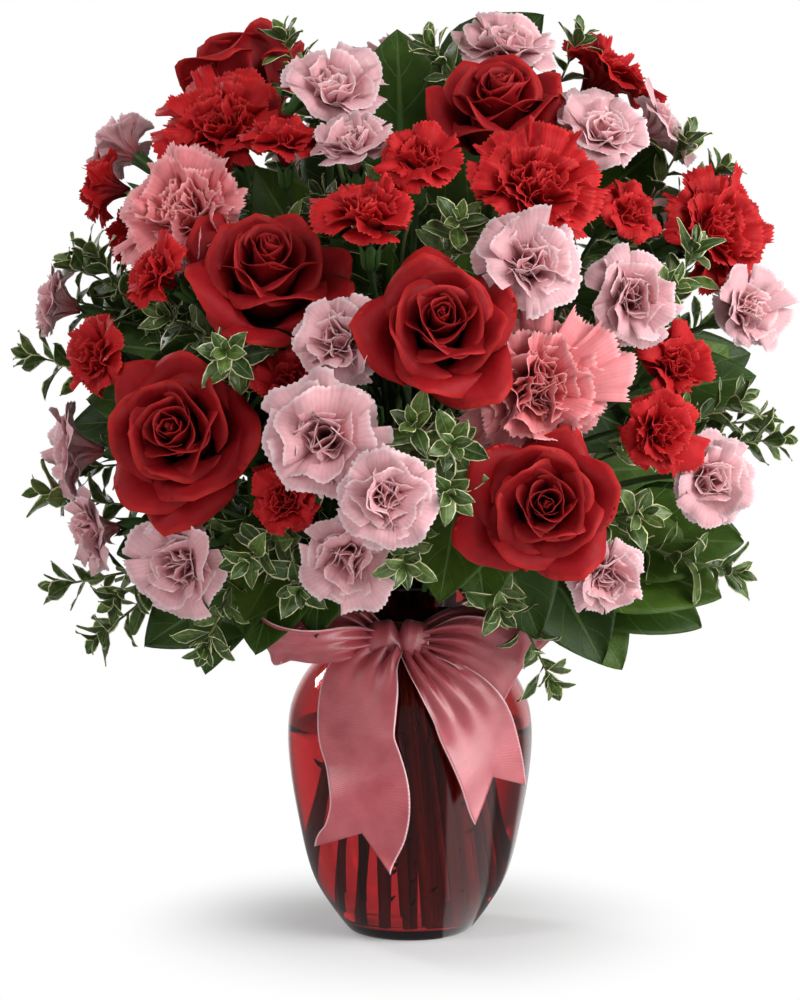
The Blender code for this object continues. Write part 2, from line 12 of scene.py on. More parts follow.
import bmesh
import bpy
import numpy as np
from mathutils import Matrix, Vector


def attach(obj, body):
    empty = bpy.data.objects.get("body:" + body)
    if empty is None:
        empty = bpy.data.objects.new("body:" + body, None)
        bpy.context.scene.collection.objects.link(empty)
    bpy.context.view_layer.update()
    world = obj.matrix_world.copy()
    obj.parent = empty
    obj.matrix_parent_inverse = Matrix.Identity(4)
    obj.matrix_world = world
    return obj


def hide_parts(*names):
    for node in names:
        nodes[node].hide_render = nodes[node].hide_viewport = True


MM = 0.001
CIRCLE = 2 * math.pi
GOLDEN = math.radians(137.508)  # from one petal or leaf to the next

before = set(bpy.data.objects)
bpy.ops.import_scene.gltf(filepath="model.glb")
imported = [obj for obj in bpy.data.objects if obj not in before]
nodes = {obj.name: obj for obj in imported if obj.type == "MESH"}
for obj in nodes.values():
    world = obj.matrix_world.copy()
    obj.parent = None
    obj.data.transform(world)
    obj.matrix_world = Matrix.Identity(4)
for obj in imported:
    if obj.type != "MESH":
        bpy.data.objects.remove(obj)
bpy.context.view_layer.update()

# -------- the same places as in the solids

# Flowers: x, y, z, diameter, turn (0 faces the front, 90 the right) and lift above level
ROSES = {
    "rose_1": (-82, 28, 414, 68, -140, 50),
    "rose_2": (39, -54, 395, 65, 0, 52),
    "rose_3": (-63, -101, 321, 70, 10, 45),
    "rose_4": (14, -148, 297, 64, 3, 25),
    "rose_5": (-104, -112, 250, 70, -15, 15),
    "rose_6": (58, -142, 221, 64, 0, 12),
    "rose_7": (-5, 142, 300, 66, 182, 22),
}
CARNATIONS = {
    "carnation_red_1": (-87, -19, 382, 60, -15, 45),
    "carnation_red_2": (54, -93, 354, 60, 15, 35),
    "carnation_red_3": (140, -18, 335, 60, 45, 15),
    "carnation_red_4": (92, 28, 409, 50, 90, 50),
    "carnation_pink_1": (-100, -60, 342, 64, -25, 30),
    "carnation_pink_2": (54, -112, 268, 68, 10, 5),
    "carnation_pink_3": (80, 118, 277, 62, 145, 12),
}
SPRAYS = {
    "spray_pink_1": [(-36, -40, 398, 48, 5, 55), (-26, -77, 373, 38, -10, 55)],
    "spray_pink_2": [(45, -6, 420, 46, 10, 50), (87, -50, 380, 44, 10, 40), (116, 2, 384, 40, 80, 30)],
    "spray_pink_3": [(-136, 15, 376, 34, -130, 30), (-165, -10, 302, 34, -80, 15)],
    "spray_pink_4": [(97, -99, 307, 42, 15, 10), (50, -127, 322, 44, 0, 25), (154, -42, 300, 38, 32, 15)],
    "spray_pink_5": [
        (-31, -130, 289, 42, -10, 15), (-37, -143, 248, 52, -5, 5), (-11, -159, 225, 42, 5, 0),
        (-27, -125, 196, 40, -5, -10),
    ],
    "spray_pink_6": [
        (-144, -50, 199, 36, -60, -5), (-155, -30, 234, 42, -80, 0), (-101, -98, 189, 44, -20, -5),
    ],
    "spray_pink_7": [(134, -77, 225, 40, 24, 0), (86, -100, 184, 36, 20, -10)],
    "spray_red_1": [
        (-111, -92, 317, 34, -45, 30), (-142, -10, 357, 36, -95, 10), (-139, -70, 280, 38, -45, 10),
    ],
    "spray_red_2": [(4, -94, 366, 38, 5, 45), (-57, -61, 375, 34, 0, 60), (-18, -116, 342, 44, 0, 50)],
    "spray_red_3": [(-53, -105, 269, 36, 0, 40), (-54, -115, 219, 32, -10, 20)],
    "spray_red_4": [(117, -85, 276, 38, 30, 20), (96, -75, 344, 32, 40, 25), (108, -110, 249, 38, 20, 0)],
    "spray_pink_8": [(-2, 62, 412, 48, 170, 60), (46, 96, 372, 46, 160, 40), (-47, 100, 370, 46, 195, 40)],
    "spray_red_5": [
        (-95, 105, 318, 46, 215, 25), (-130, 62, 335, 42, 245, 25), (-142, 66, 268, 44, 240, 10),
        (-88, 128, 255, 46, 212, 10), (-35, 142, 228, 46, 190, 5),
    ],
    "spray_pink_9": [
        (118, 84, 340, 44, 125, 25), (150, 42, 318, 42, 100, 20), (142, 76, 255, 44, 120, 10),
        (45, 138, 222, 46, 165, 5), (103, 112, 202, 44, 140, 0),
    ],
}
CALYX_TOP = -0.55  # where the petals leave the green calyx of a carnation, in flower radii from its centre

# -------- shells


def spline(stations, t):
    """A smooth curve through evenly spaced stations, at t from 0 to 1."""
    stations = np.asarray(stations, float)
    last = len(stations) - 1
    place = np.clip(t, 0, 1) * last
    index = np.minimum(place.astype(int), last - 1)
    s = (place - index)[..., None]
    ends = 2 * stations[[0, -1]] - stations[[1, -2]]
    longer = np.concatenate([ends[:1], stations, ends[1:]])
    before, here, ahead, after = (longer[index + k] for k in range(4))
    return 0.5 * (2 * here + (ahead - before) * s + (2 * before - 5 * here + 4 * ahead - after) * s**2
                  + (3 * here - before - 3 * ahead + after) * s**3)


def smooth(low, high, value):
    """0 below low, 1 above high and a soft step between."""
    t = np.clip((value - low) / (high - low), 0, 1)
    return t * t * (3 - 2 * t)


def unit(vectors):
    return vectors / np.maximum(np.linalg.norm(vectors, axis=-1, keepdims=True), 1e-9)


def facing(turn, lift):
    """The unit vector with this turn and lift, both in degrees."""
    turn, lift = math.radians(turn), math.radians(lift)
    return np.array([math.sin(turn) * math.cos(lift), -math.cos(turn) * math.cos(lift), math.sin(lift)])


def polar(radius, angle, height):
    """The points at these radii, angles and heights."""
    return np.stack([radius * np.cos(angle), radius * np.sin(angle), height], axis=1)


def rotated(first, second, angle):
    """Both parts of a direction after a turn by angle."""
    return first * np.cos(angle) - second * np.sin(angle), first * np.sin(angle) + second * np.cos(angle)


def lengths_along(line):
    """How far each point of a line lies from its start, along the line."""
    return np.concatenate([[0], np.cumsum(np.linalg.norm(np.diff(line, axis=0), axis=1))])


def axes(way, spin=0.0):
    """Three rows: two directions square to way, turned by spin round it, and way itself."""
    way = unit(np.asarray(way, float))
    helper = np.array([0, 0, 1.0]) if abs(way[2]) < 0.9 else np.array([1.0, 0, 0])
    side = unit(np.cross(helper, way))
    other = np.cross(way, side)
    return np.array([side * math.cos(spin) + other * math.sin(spin),
                     other * math.cos(spin) - side * math.sin(spin), way])


@functools.lru_cache(None)
def layout(columns, rows, finer):
    """u and v of the points of a thin shell's front, and the triangles and quads of the whole shell.

    The last row has finer times as many columns, for a fringed edge.
    """
    u = [np.linspace(-1, 1, columns + 1)] * rows + [np.linspace(-1, 1, columns * finer + 1)]
    v = [np.full(len(row), j / rows) for j, row in enumerate(u)]
    starts = [j * (columns + 1) for j in range(rows + 1)]
    size = sum(len(row) for row in u)
    quads, triangles = [], []
    for j in range(rows - 1 if finer > 1 else rows):
        for k in range(columns):
            low, high = starts[j] + k, starts[j + 1] + k
            quads.append((low, low + 1, high + 1, high))
    if finer > 1:
        middle = finer // 2
        for k in range(columns):
            low, high = starts[rows - 1] + k, starts[rows] + k * finer
            triangles.append((low, low + 1, high + middle))
            for i in range(finer):
                triangles.append((low if i < middle else low + 1, high + i + 1, high + i))
    rim = list(range(columns))
    rim += [starts[j] + columns for j in range(rows)]
    rim += [size - 1 - k for k in range(columns * finer)]
    rim += [starts[j] for j in range(rows, 0, -1)]
    quads += [tuple(size + i for i in reversed(face)) for face in quads]
    triangles += [tuple(size + i for i in reversed(face)) for face in triangles]
    for first, second in zip(rim, rim[1:] + rim[:1]):
        quads.append((second, first, first + size, second + size))
    return (np.concatenate(u), np.concatenate(v), np.array(triangles, int).reshape(-1, 3),
            np.array(quads, int).reshape(-1, 4))


STORED = ("along", "across", "tone")  # the values that a material reads at each point
RIM_THINNING = 0.65  # how much of a shell's thickness is lost towards its rim


def add_object(name, data):
    """A new object of this data, in the scene."""
    obj = bpy.data.objects.new(name, data)
    bpy.context.scene.collection.objects.link(obj)
    return obj


class Piece:
    """The points and faces of one piece, with the stored values of each point."""

    def __init__(self):
        self.points, self.triangles, self.quads, self.values = [], [], [], []
        self.size = 0

    def add(self, points, triangles, quads, values):
        self.points.append(points)
        self.triangles.append(triangles + self.size)
        self.quads.append(quads + self.size)
        self.values.append(values)
        self.size += len(points)

    def shell(self, shape, grid, thickness, tone=0.0, fringe=None):
        """Adds the thin shell of shape(u, v). fringe gives how much of v is cut from each edge point."""
        columns, rows, finer = grid
        u, v, triangles, quads = layout(columns, rows, finer)
        if fringe is not None:
            v = v.copy()
            edge = columns * finer + 1
            v[-edge:] -= fringe(edge)
        step = 1e-3
        middle = shape(u, v)
        across = shape(np.clip(u + step, -1, 1), v) - shape(np.clip(u - step, -1, 1), v)
        along = shape(u, np.clip(v + step, 0, 1)) - shape(u, np.clip(v - step, 0, 1))
        normal = unit(np.cross(across, along))
        thin = 1 - RIM_THINNING * np.maximum(np.abs(u), v) ** 10
        offset = normal * (thickness / 2 * thin)[:, None]
        values = np.stack([v, u, np.full(len(u), tone)], axis=1)
        self.add(np.concatenate([middle + offset, middle - offset]), triangles, quads,
                 np.concatenate([values, values]))

    def tube(self, line, radii, sides, tone=0.0):
        """Adds a round bar along a line of points, closed at both ends."""
        line = np.asarray(line, float)
        ways = unit(np.gradient(line, axis=0))
        side = axes(ways[0])[0]
        rings = []
        angles = np.linspace(0, CIRCLE, sides, endpoint=False)[:, None]
        for centre, way, radius in zip(line, ways, radii):
            side = unit(side - way * np.dot(side, way))
            rings.append(centre + radius * (np.cos(angles) * side + np.sin(angles) * np.cross(way, side)))
        self.rings(rings, np.linspace(0, 1, len(line)), tone)

    def rings(self, rings, along, tone=0.0):
        """Adds a closed skin over rings of as many points each, with a point in the middle of both ends."""
        sides, levels = len(rings[0]), len(rings)
        points = np.concatenate([*rings, rings[0].mean(0)[None], rings[-1].mean(0)[None]])
        low = sides * levels
        k = np.arange(sides)
        after = (k + 1) % sides
        quads = [np.stack([k, after, after + sides, k + sides], 1) + j * sides for j in range(levels - 1)]
        top = low - sides
        triangles = np.concatenate([np.stack([after, k, np.full(sides, low)], 1),
                                    np.stack([top + k, top + after, np.full(sides, low + 1)], 1)])
        along = np.concatenate([np.repeat(along, sides), [along[0], along[-1]]])
        values = np.stack([along, np.zeros(len(points)), np.full(len(points), tone)], axis=1)
        self.add(points, triangles, np.concatenate(quads), values)

    def build(self, name, material, slot, *replaced):
        """Makes the object, in metres, riding with the vase, and hides the solids that it stands for."""
        mesh = bpy.data.meshes.new(name)
        faces = [*np.concatenate(self.triangles).tolist(), *np.concatenate(self.quads).tolist()]
        mesh.from_pydata(np.concatenate(self.points) * MM, [], faces)
        mesh.shade_smooth()
        for attribute, values in zip(STORED, np.concatenate(self.values).T):
            layer = mesh.attributes.new(attribute, "FLOAT", "POINT")
            layer.data.foreach_set("value", values.astype(np.float32))
        mesh.materials.append(material)
        obj = add_object(name, mesh)
        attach(obj, "root")
        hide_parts(*replaced)
        return obj


# -------- materials


def put(tree, value, socket):
    """Gives a socket a number or colour, or links it to what another node makes."""
    if isinstance(value, bpy.types.NodeSocket):
        tree.links.new(value, socket)
    else:
        socket.default_value = value


def add_node(tree, kind, **inputs):
    """A shader node with these inputs."""
    node = tree.nodes.new("ShaderNode" + kind)
    for name, value in inputs.items():
        put(tree, value, node.inputs[name.replace("_", " ")])
    return node


def calculate(tree, operation, *values):
    """What a maths node makes of these values."""
    node = add_node(tree, "Math")
    node.operation = operation
    for socket, value in zip(node.inputs, values):
        put(tree, value, socket)
    return node.outputs["Value"]


class Finish:
    """A material whose colour, roughness and bump are worked out by a few nodes."""

    def __init__(self, name, **constants):
        self.material = bpy.data.materials.new(name)
        self.material.use_nodes = True
        self.tree = self.material.node_tree
        self.shader = self.tree.nodes["Principled BSDF"]
        for socket, value in constants.items():
            self.shader.inputs[socket.replace("_", " ")].default_value = value

    def stored(self):
        """The values stored at each point."""
        for name in STORED:
            node = add_node(self.tree, "Attribute")
            node.attribute_name = name
            yield node.outputs["Fac"]

    def place(self, stretch=(1, 1, 1)):
        """The place in the row frame in metres, stretched."""
        where = add_node(self.tree, "TexCoord").outputs["Object"]
        return add_node(self.tree, "Mapping", Vector=where, Scale=stretch).outputs["Vector"]

    def noise(self, scale, detail, stretch=(1, 1, 1)):
        vector = self.place(stretch)
        return add_node(self.tree, "TexNoise", Scale=scale, Detail=detail, Vector=vector).outputs["Fac"]

    def math(self, operation, *values):
        return calculate(self.tree, operation, *values)

    def scaled(self, value, factor, added):
        """value times factor, plus added."""
        return self.math("MULTIPLY_ADD", value, factor, added)

    def times(self, value, factor):
        return self.math("MULTIPLY", value, factor)

    def ramp(self, value, *stops):
        """A colour or a level for each value: stops of (value, colour)."""
        node = add_node(self.tree, "ValToRGB", Fac=value)
        elements = node.color_ramp.elements
        while len(elements) < len(stops):
            elements.new(0.5)
        for element, (position, colour) in zip(elements, stops):
            element.position = position
            element.color = (*colour, 1) if hasattr(colour, "__len__") else (colour, colour, colour, 1)
        return node.outputs["Color"]

    def mix(self, share, first, second, blend="MIX"):
        node = add_node(self.tree, "Mix")
        node.data_type = "RGBA"
        node.blend_type = blend
        put(self.tree, share, node.inputs["Factor"])
        colour_inputs = [socket for socket in node.inputs if socket.type == "RGBA"]
        for socket, value in zip(colour_inputs, (first, second)):
            put(self.tree, (*value, 1) if isinstance(value, tuple) else value, socket)
        return next(socket for socket in node.outputs if socket.type == "RGBA")

    def shaded(self, colour, shade):
        """A colour made darker by a shade from 0 to 1."""
        return self.mix(1.0, colour, self.ramp(shade, (0.0, 0.0), (1.0, 1.0)), "MULTIPLY")

    def finish(self, colour, rough, least, most, height, strength, distance):
        """The material with this colour, roughness between least and most where rough varies, and bump."""
        bump = add_node(self.tree, "Bump", Height=height, Strength=strength, Distance=distance)
        put(self.tree, bump.outputs["Normal"], self.shader.inputs["Normal"])
        put(self.tree, colour, self.shader.inputs["Base Color"])
        put(self.tree, self.ramp(rough, (0.3, least), (0.7, most)), self.shader.inputs["Roughness"])
        return self.material


def petal_finish(name, inner, outer, veins, **constants):
    """Petals: darker at the base as painted shade, lighter at the edge as a painted highlight, with fine
    veins that run out to it.
    """
    finish = Finish(name, **constants)
    along, across, tone = finish.stored()
    # Along each petal: painted shade at the base and a painted highlight at the edge; tone blends the
    # colours of the middle petals with those round the outside
    heart, rim = (finish.ramp(along, (0.25, base), (0.65, face), (0.93, face), (1.0, edge))
                  for base, face, edge in (inner, outer))
    cloud = finish.noise(260, 4)
    streaks = finish.times(finish.math("SINE", finish.times(across, veins)), cloud)
    shade = finish.scaled(streaks, 0.08, finish.scaled(cloud, 0.3, 0.83))
    colour = finish.shaded(finish.mix(tone, heart, rim), shade)
    height = finish.scaled(streaks, 0.5, finish.noise(900, 2))
    return finish.finish(colour, cloud, 0.52, 0.68, height, 0.3, 0.0003)


# -------- flowers

SWEEP = (np.arange(14) + 0.5) / 14  # the shares of a line at which its heading is read
PRESSED_ROOM = 0.93  # how much of its radius a flower keeps clear of the petals of others
PRESSING = 0.65  # 1 would press every petal out of that room, 0 none


def middle_of(row):
    """The middle of a flower, the way it faces and its radius."""
    x, y, z, diameter, turn, lift = row
    return np.array([x, y, z], float), facing(turn, lift), diameter / 2


ALL_ROWS = [*ROSES.values(), *CARNATIONS.values(), *(row for rows in SPRAYS.values() for row in rows)]
FLOWERS = [middle_of(row) for row in ALL_ROWS]
MIDDLES = np.array([middle for middle, _, _ in FLOWERS])
RADII = np.array([radius for _, _, radius in FLOWERS])


def swept(start, length, heading, u, v):
    """The radius and height at v along a line that turns to heading(u, v), which is 0 straight up."""
    angles = heading(u[:, None], v[:, None] * SWEEP)
    return start[0] + length * v * np.sin(angles).mean(1), start[1] + length * v * np.cos(angles).mean(1)


def place_shape(shape, centre, frame_axes):
    """A shape in a flower's own axes, moved to its place."""
    def placed(u, v):
        return shape(u, v) @ frame_axes + centre
    return placed


def press_aside(shape, centre, radius):
    """A petal's shape, bent round the flowers next to its own."""
    gaps = np.linalg.norm(MIDDLES - centre, axis=1)
    near = (gaps > 1) & (gaps < radius * 1.2 + RADII)

    def pressed(u, v):
        points = shape(u, v)
        for middle, room in zip(MIDDLES[near], PRESSED_ROOM * RADII[near]):
            offsets = points - middle
            share = np.linalg.norm(offsets, axis=1) / room
            points = middle + offsets * np.where(share < 1, share**-PRESSING, 1)[:, None]
        return points

    return pressed


# Rose petals from the heart outwards, with lengths in flower radii and angles in degrees: the radius
# and height of the base, the length, the heading at the base, halfway and at the rim, how far the
# margin rolls back, and half of the angle that the petal covers
ROSE_STAGES = (0.0, 0.3, 0.55, 0.8, 1.0)
ROSE_ROWS = np.array([
    (0.03, -0.55, 1.00, 5, 0, -18, 0, 150),
    (0.05, -0.65, 1.10, 35, 0, 5, 40, 92),
    (0.06, -0.75, 1.22, 60, 3, 24, 95, 72),
    (0.07, -0.82, 1.28, 75, 18, 50, 150, 64),
    (0.08, -0.86, 1.30, 82, 36, 78, 165, 58),
])
ROSE_RANKS = (*np.linspace(0, 0.40, 14), *np.linspace(0.46, 0.68, 7), *np.linspace(0.78, 1.0, 6))
ROSE_THICKNESS = 0.45


def rose_petal(stage, turn, radius, random):
    """The shape of one rose petal in the flower's own axes."""
    base_radius, base_height, length, *angles = (np.interp(stage, ROSE_STAGES, row) for row in ROSE_ROWS.T)
    low, middle, rim, roll, wrap = np.radians(angles)
    length *= random.uniform(0.95, 1.05)
    rim += stage * random.normal(0, 0.08)
    wrap *= random.uniform(0.9, 1.1)
    lean = random.uniform(-0.2, 0.2)
    first, second = random.uniform(0, CIRCLE, 2)
    tuck = 0.13 - 0.06 * stage

    def heading(u, s):
        margin = smooth(0.03, 0.75, np.abs(u - lean))
        return (low + (middle - low) * smooth(0, 0.5, s) + (rim - middle) * smooth(0.45, 0.95, s)
                + roll * (0.10 + 0.90 * margin) * smooth(0.80 - 0.22 * margin, 1.04, s))

    def shape(u, v):
        side = np.abs(u)
        point = 0.13 * stage * np.exp(-np.abs(u - lean) / 0.20)
        reach = v * (1 - (0.03 + 0.17 * stage) * side**2.6 + point)
        r, z = swept((base_radius, base_height), length, heading, u, reach)
        angle = heading(u, reach)
        out = (0.16 * stage * smooth(0.6, 1.0, side) * smooth(0.2, 0.8, v)
               + 0.028 * stage * np.sin(3.0 * u + first) * v**2 + 0.009 * np.sin(9 * u + second) * v**3)
        r = (r + out * np.cos(angle)) * (1 + tuck * u)
        z = z - out * np.sin(angle)
        return polar(r, turn + wrap * u * (0.75 + 0.25 * v), z) * radius

    return shape


def make_rose(name, row, seed, openness):
    """The petals of one rose: a tight heart, then wider and wider petals with rolled edges."""
    random = np.random.default_rng(seed)
    centre, way, radius = middle_of(row)
    local = axes(way, random.uniform(0, CIRCLE))
    drift = np.array([0.06, 0.03, 0]) * radius  # of the heart from the middle
    piece = Piece()
    for number, rank in enumerate(ROSE_RANKS):
        stage = openness * rank
        azimuth = number * GOLDEN + random.normal(0, 0.12)
        shape = rose_petal(stage, azimuth, radius, random)
        grid = (18, 14, 1) if rank > 0.4 else (16, 8, 1)
        heart = centre + (1 - stage) * drift @ local
        shape = press_aside(place_shape(shape, heart, local), centre, radius)
        # The rank is the tone, so the middle petals take the darker colours: painted shade in the rose's
        # heart
        piece.shell(shape, grid, ROSE_THICKNESS, rank)
    piece.build(name + "_petals", ROSE_FINISH, "rose_petals", name + "_bloom")


# The petals of large, red spray and pink spray carnations; lengths are in flower radii
LOOKS = {
    "petals": (38, 27, 26), "reach": (1.03, 1.02, 1.02), "width": (0.58, 0.56, 0.66),
    "wrap": (0.35, 0.5, 0.6), "twist": (1.1, 1.0, 0.9), "waves": (4.2, 3.6, 3.4),
    "crimp": (0.35, 0.3, 0.22), "uneven": (0.07, 0.10, 0.09), "round": (0.10, 0.12, 0.15),
    "teeth": (0.055, 0.07, 0.035), "ruffle": ((0.18, 0.12), (0.20, 0.13), (0.22, 0.10)),
    "columns": ((10, 15), (6, 9), (6, 9)),
}
LARGE, RED_SPRAY, PINK_SPRAY = ({key: row[k] for key, row in LOOKS.items()} for k in range(3))
CARNATION_THICKNESS = 0.35
CARNATION_RANKS = (0, 0.3, 0.6, 1)  # from the middle to the outermost petal, for the values below
CARNATION_RIMS = (-14, 24, 60, 108)  # heading at the rim, in degrees
CARNATION_LENGTHS = (0.95, 1.02, 1.20, 1.45)
CARNATION_WIDTHS = (0.42, 0.72, 0.95, 1.0)
CARNATION_BENDS = (2.6, 1.8, 1.1, 0.3)  # 1 over the radius to which a petal is bent across


def carnation_petal(rank, turn, radius, look, random):
    """The shape of one carnation petal: a narrow claw in the calyx that opens into a ruffled fan."""
    rim, length, half, bend = (np.interp(rank, CARNATION_RANKS, values) for values in (
        CARNATION_RIMS, CARNATION_LENGTHS, CARNATION_WIDTHS, CARNATION_BENDS))
    claw = math.radians(6 + 12 * rank)
    rim = math.radians(rim + random.normal(0, 8))
    length = look["reach"] * length * random.normal(1, look["uneven"])
    half = look["width"] * half * random.uniform(0.88, 1.12)
    bend = 0.05 + look["wrap"] * bend
    twist = random.uniform(-1, 1) * look["twist"] * (1.3 - rank)
    fold = random.uniform(0.6, 1.1) * np.interp(rank, (0, 1), look["ruffle"])
    first, second, third = random.uniform(0, CIRCLE, 3)

    def heading(_u, s):
        return claw + (rim - claw) * smooth(0.28, 0.85, s)

    def shape(u, v):
        reach = v * (1 - look["round"] * np.abs(u) ** 2.2 + 0.04 * np.sin(4.5 * u + third))
        r, z = swept((0.04 + 0.06 * rank, CALYX_TOP), length, heading, u, reach)
        angle = heading(u, reach)
        wide = (0.05 + half * v**1.3) * u
        ruffle = fold * (v**2 * np.sin(look["waves"] * u + first)
                         + look["crimp"] * v**4 * np.sin(2.9 * look["waves"] * u + second))
        side, rise = np.sin(bend * wide) / bend, (1 - np.cos(bend * wide)) / bend + ruffle
        side, rise = rotated(side, rise, twist * v)
        x, y = rotated(r - rise * np.cos(angle), side, turn)
        z = z + rise * np.sin(angle)
        return np.stack([x, y, z], axis=1) * radius

    return shape


def add_carnation(piece, row, look, random):
    """The petals of one carnation, crumpled in the middle and spread round the edge."""
    centre, way, radius = middle_of(row)
    local = axes(way, random.uniform(0, CIRCLE))

    def fringe(count):
        depth = look["teeth"] * random.uniform(0.3, 1.0, count)
        depth[::2] *= 0.15
        return depth

    for number in range(look["petals"]):
        rank = number / (look["petals"] - 1)
        shape = carnation_petal(rank, number * GOLDEN + random.normal(0, 0.15), radius, look, random)
        tone = np.clip(rank + random.uniform(-0.15, 0.15), 0, 1)
        grid = (look["columns"][int(rank > 0.5)], 5, 3)
        shape = press_aside(place_shape(shape, centre, local), centre, radius)
        piece.shell(shape, grid, CARNATION_THICKNESS, tone, fringe)


# Colours of a petal's base, face and edge, in the middle of the flower and then round its outside: the
# darker bases are painted shade and the lighter edges painted highlights, and a rose's darker middle petals
# are painted shade in its heart
ROSE_FINISH = petal_finish(
    "rose petal", [(0.025, 0.0, 0.001), (0.20, 0.002, 0.005), (0.36, 0.010, 0.012)],
    [(0.06, 0.0, 0.002), (0.33, 0.004, 0.008), (0.50, 0.017, 0.014)], 34,
    Sheen_Weight=0.06, Sheen_Roughness=0.4, Sheen_Tint=(1.0, 0.2, 0.2, 1), Specular_IOR_Level=0.2)
RED_FINISH = petal_finish(
    "red carnation petal", [(0.09, 0.001, 0.003), (0.38, 0.005, 0.008), (0.64, 0.026, 0.026)],
    [(0.15, 0.002, 0.004), (0.50, 0.008, 0.011), (0.72, 0.036, 0.033)], 60,
    Sheen_Weight=0.05, Sheen_Roughness=0.5, Sheen_Tint=(1.0, 0.3, 0.3, 1), Specular_IOR_Level=0.2)
PINK_FINISH = petal_finish(
    "pink carnation petal", [(0.45, 0.040, 0.050), (0.74, 0.19, 0.20), (0.90, 0.46, 0.45)],
    [(0.50, 0.08, 0.09), (0.76, 0.25, 0.27), (0.90, 0.47, 0.47)], 60,
    Sheen_Weight=0.05, Sheen_Roughness=0.5, Specular_IOR_Level=0.25)
SPRAY_PINK_FINISH = petal_finish(
    "pink spray petal", [(0.36, 0.05, 0.06), (0.72, 0.34, 0.36), (0.84, 0.60, 0.61)],
    [(0.50, 0.14, 0.15), (0.72, 0.41, 0.44), (0.86, 0.70, 0.72)], 40,
    Sheen_Weight=0.05, Sheen_Roughness=0.5, Specular_IOR_Level=0.25)


# -------- vase and water

# The vase's outside from foot to lip as (height, radius)
VASE_OUTSIDE = [
    (0, 29), (2, 31.3), (11, 38), (23, 45.4), (36, 50), (55, 54.1), (74, 57.4), (92, 59), (106, 58.2),
    (116, 55.2), (125, 50.3), (133, 43.5), (140, 36.2), (146, 30.8), (152, 28), (158, 28.8), (169, 35.5),
]
GLASS_WALL = 3.0
GLASS_FLOOR = 6.0
WATER_LEVEL = 100.0
WATER_OVERLAP = 0.25  # of the water into the glass, so that no air shows between them
VASE_SIDES = 96


def make_turned(name, outline, finish, slot, node):
    """A piece turned round Z from (height, radius) pairs, which end just off the axis."""
    angles = np.linspace(0, CIRCLE, VASE_SIDES, endpoint=False)
    rings = [polar(r, angles, np.full(VASE_SIDES, z)) for z, r in outline]
    piece = Piece()
    piece.rings(rings, np.linspace(0, 1, len(outline)))
    piece.build(name, finish, slot, node)


def glass_lines():
    """The glass as (height, radius): its inside, and all of it from the underside round to the floor."""
    outside = spline(VASE_OUTSIDE, np.linspace(0, 1, 60))
    ahead = unit(np.gradient(outside, axis=0))
    inside = outside + np.stack([ahead[:, 1], -ahead[:, 0]], axis=1) * GLASS_WALL
    inside = inside[inside[:, 0] > GLASS_FLOOR + 5]
    turn = np.linspace(0.2, 0.8, 4) * math.pi
    middle = (outside[-1] + inside[-1]) / 2
    reach = (outside[-1] - inside[-1]) / 2
    lip = [middle + reach * math.cos(a) + ahead[-1] * (GLASS_WALL / 2 * math.sin(a)) for a in turn]
    low = inside[0]
    corner = [low + ((GLASS_FLOOR, low[1] - 6) - low) * (math.sin(a), 1 - math.cos(a))
              for a in np.linspace(0, math.pi / 2, 6)[1:]]
    underside = [(1.2, 2.0), (1.2, 20.0), (0.9, 24.0), (0.2, 27.5)]
    return inside, np.concatenate([underside, outside, lip, inside[::-1], corner, [(GLASS_FLOOR, 2.0)]])


def make_vase():
    inside, outline = glass_lines()
    make_turned("ruby_vase", outline, GLASS_FINISH, "ruby_glass", "vase")
    wet = [(z, r + WATER_OVERLAP) for z, r in inside if GLASS_FLOOR + 6 < z < WATER_LEVEL]
    low, high = wet[0][1], wet[-1][1]
    bottom, surface = GLASS_FLOOR - 0.2, WATER_LEVEL + 0.6
    outline = [(bottom, 2.0), (bottom, low - 6), (GLASS_FLOOR + 2, low - 2), *wet, (surface, high),
               (WATER_LEVEL, high - 2.5), (WATER_LEVEL, 2.0)]
    make_turned("vase_water", outline, WATER_FINISH, "water", "water")


# -------- ribbon

RIBBON_WIDTH = 38.0
RIBBON_THICKNESS = 0.5
RIB_PITCH = 0.0009  # metres
# Along each ribbon: x, y, z of its middle, half its width, and its turn round its own line in degrees
LOOP_LEFT = [
    (-17, -46, 147, 5, 0), (-29, -55, 147, 10, -26), (-44, -60, 146, 14.5, -48),
    (-58, -60, 147.5, 17, -50), (-68, -54, 150, 17.5, -24), (-62, -47, 154, 15, 0),
    (-47, -44, 158, 12, 14), (-31, -43, 159, 9.5, 14), (-17, -40.5, 151, 5, 0),
]
LOOP_RIGHT = [
    (6, -46, 147, 5, 0), (23, -56, 148, 12, 6), (37, -59, 143, 16.5, 8), (47, -57, 138, 18.5, 8),
    (53, -50, 136, 19, 8), (48, -44, 143, 17.5, 6), (35, -42, 150, 13.5, 4), (21, -41, 153, 9, 0),
    (6, -40.5, 149, 5, 0),
]
TAIL_LEFT = [
    (-10, -47, 146, 8, 0), (-18, -54, 139, 14.5, -6), (-22.5, -58, 130, 17.8, -8),
    (-24.5, -60, 118, 18.8, -2), (-25, -60.5, 104, 19, 4), (-21.5, -60.5, 91, 18.8, 2),
    (-19, -62, 78, 18.8, -8), (-19.5, -61.5, 68, 19, -14), (-22.5, -59, 58.5, 19, -10),
]
TAIL_RIGHT = [
    (0, -47, 143, 6, 0), (7, -54, 136, 9, 10), (16, -59, 128, 13, 20), (25, -60.5, 118, 16.5, 18),
    (31, -59.5, 107, 18.5, 2), (35.5, -57, 95, 19, -12), (38.5, -54, 84, 19, -18),
]
TAIL_TIP = 15.0  # how far the points of a tail reach past its notch
KNOT_CENTRE = np.array([-6, -43.0, 146])
KNOT_HALF = (14.5, 8.0, 9.5)
BAND = [(144, 36.5), (148, 33.8), (153.5, 31.8)]  # (height, radius) of the turn round the neck
BAND_PLEAT = 1.3
FOLDS = 3.5  # half waves across a gathered ribbon
FOLD_DEPTH = 4.2



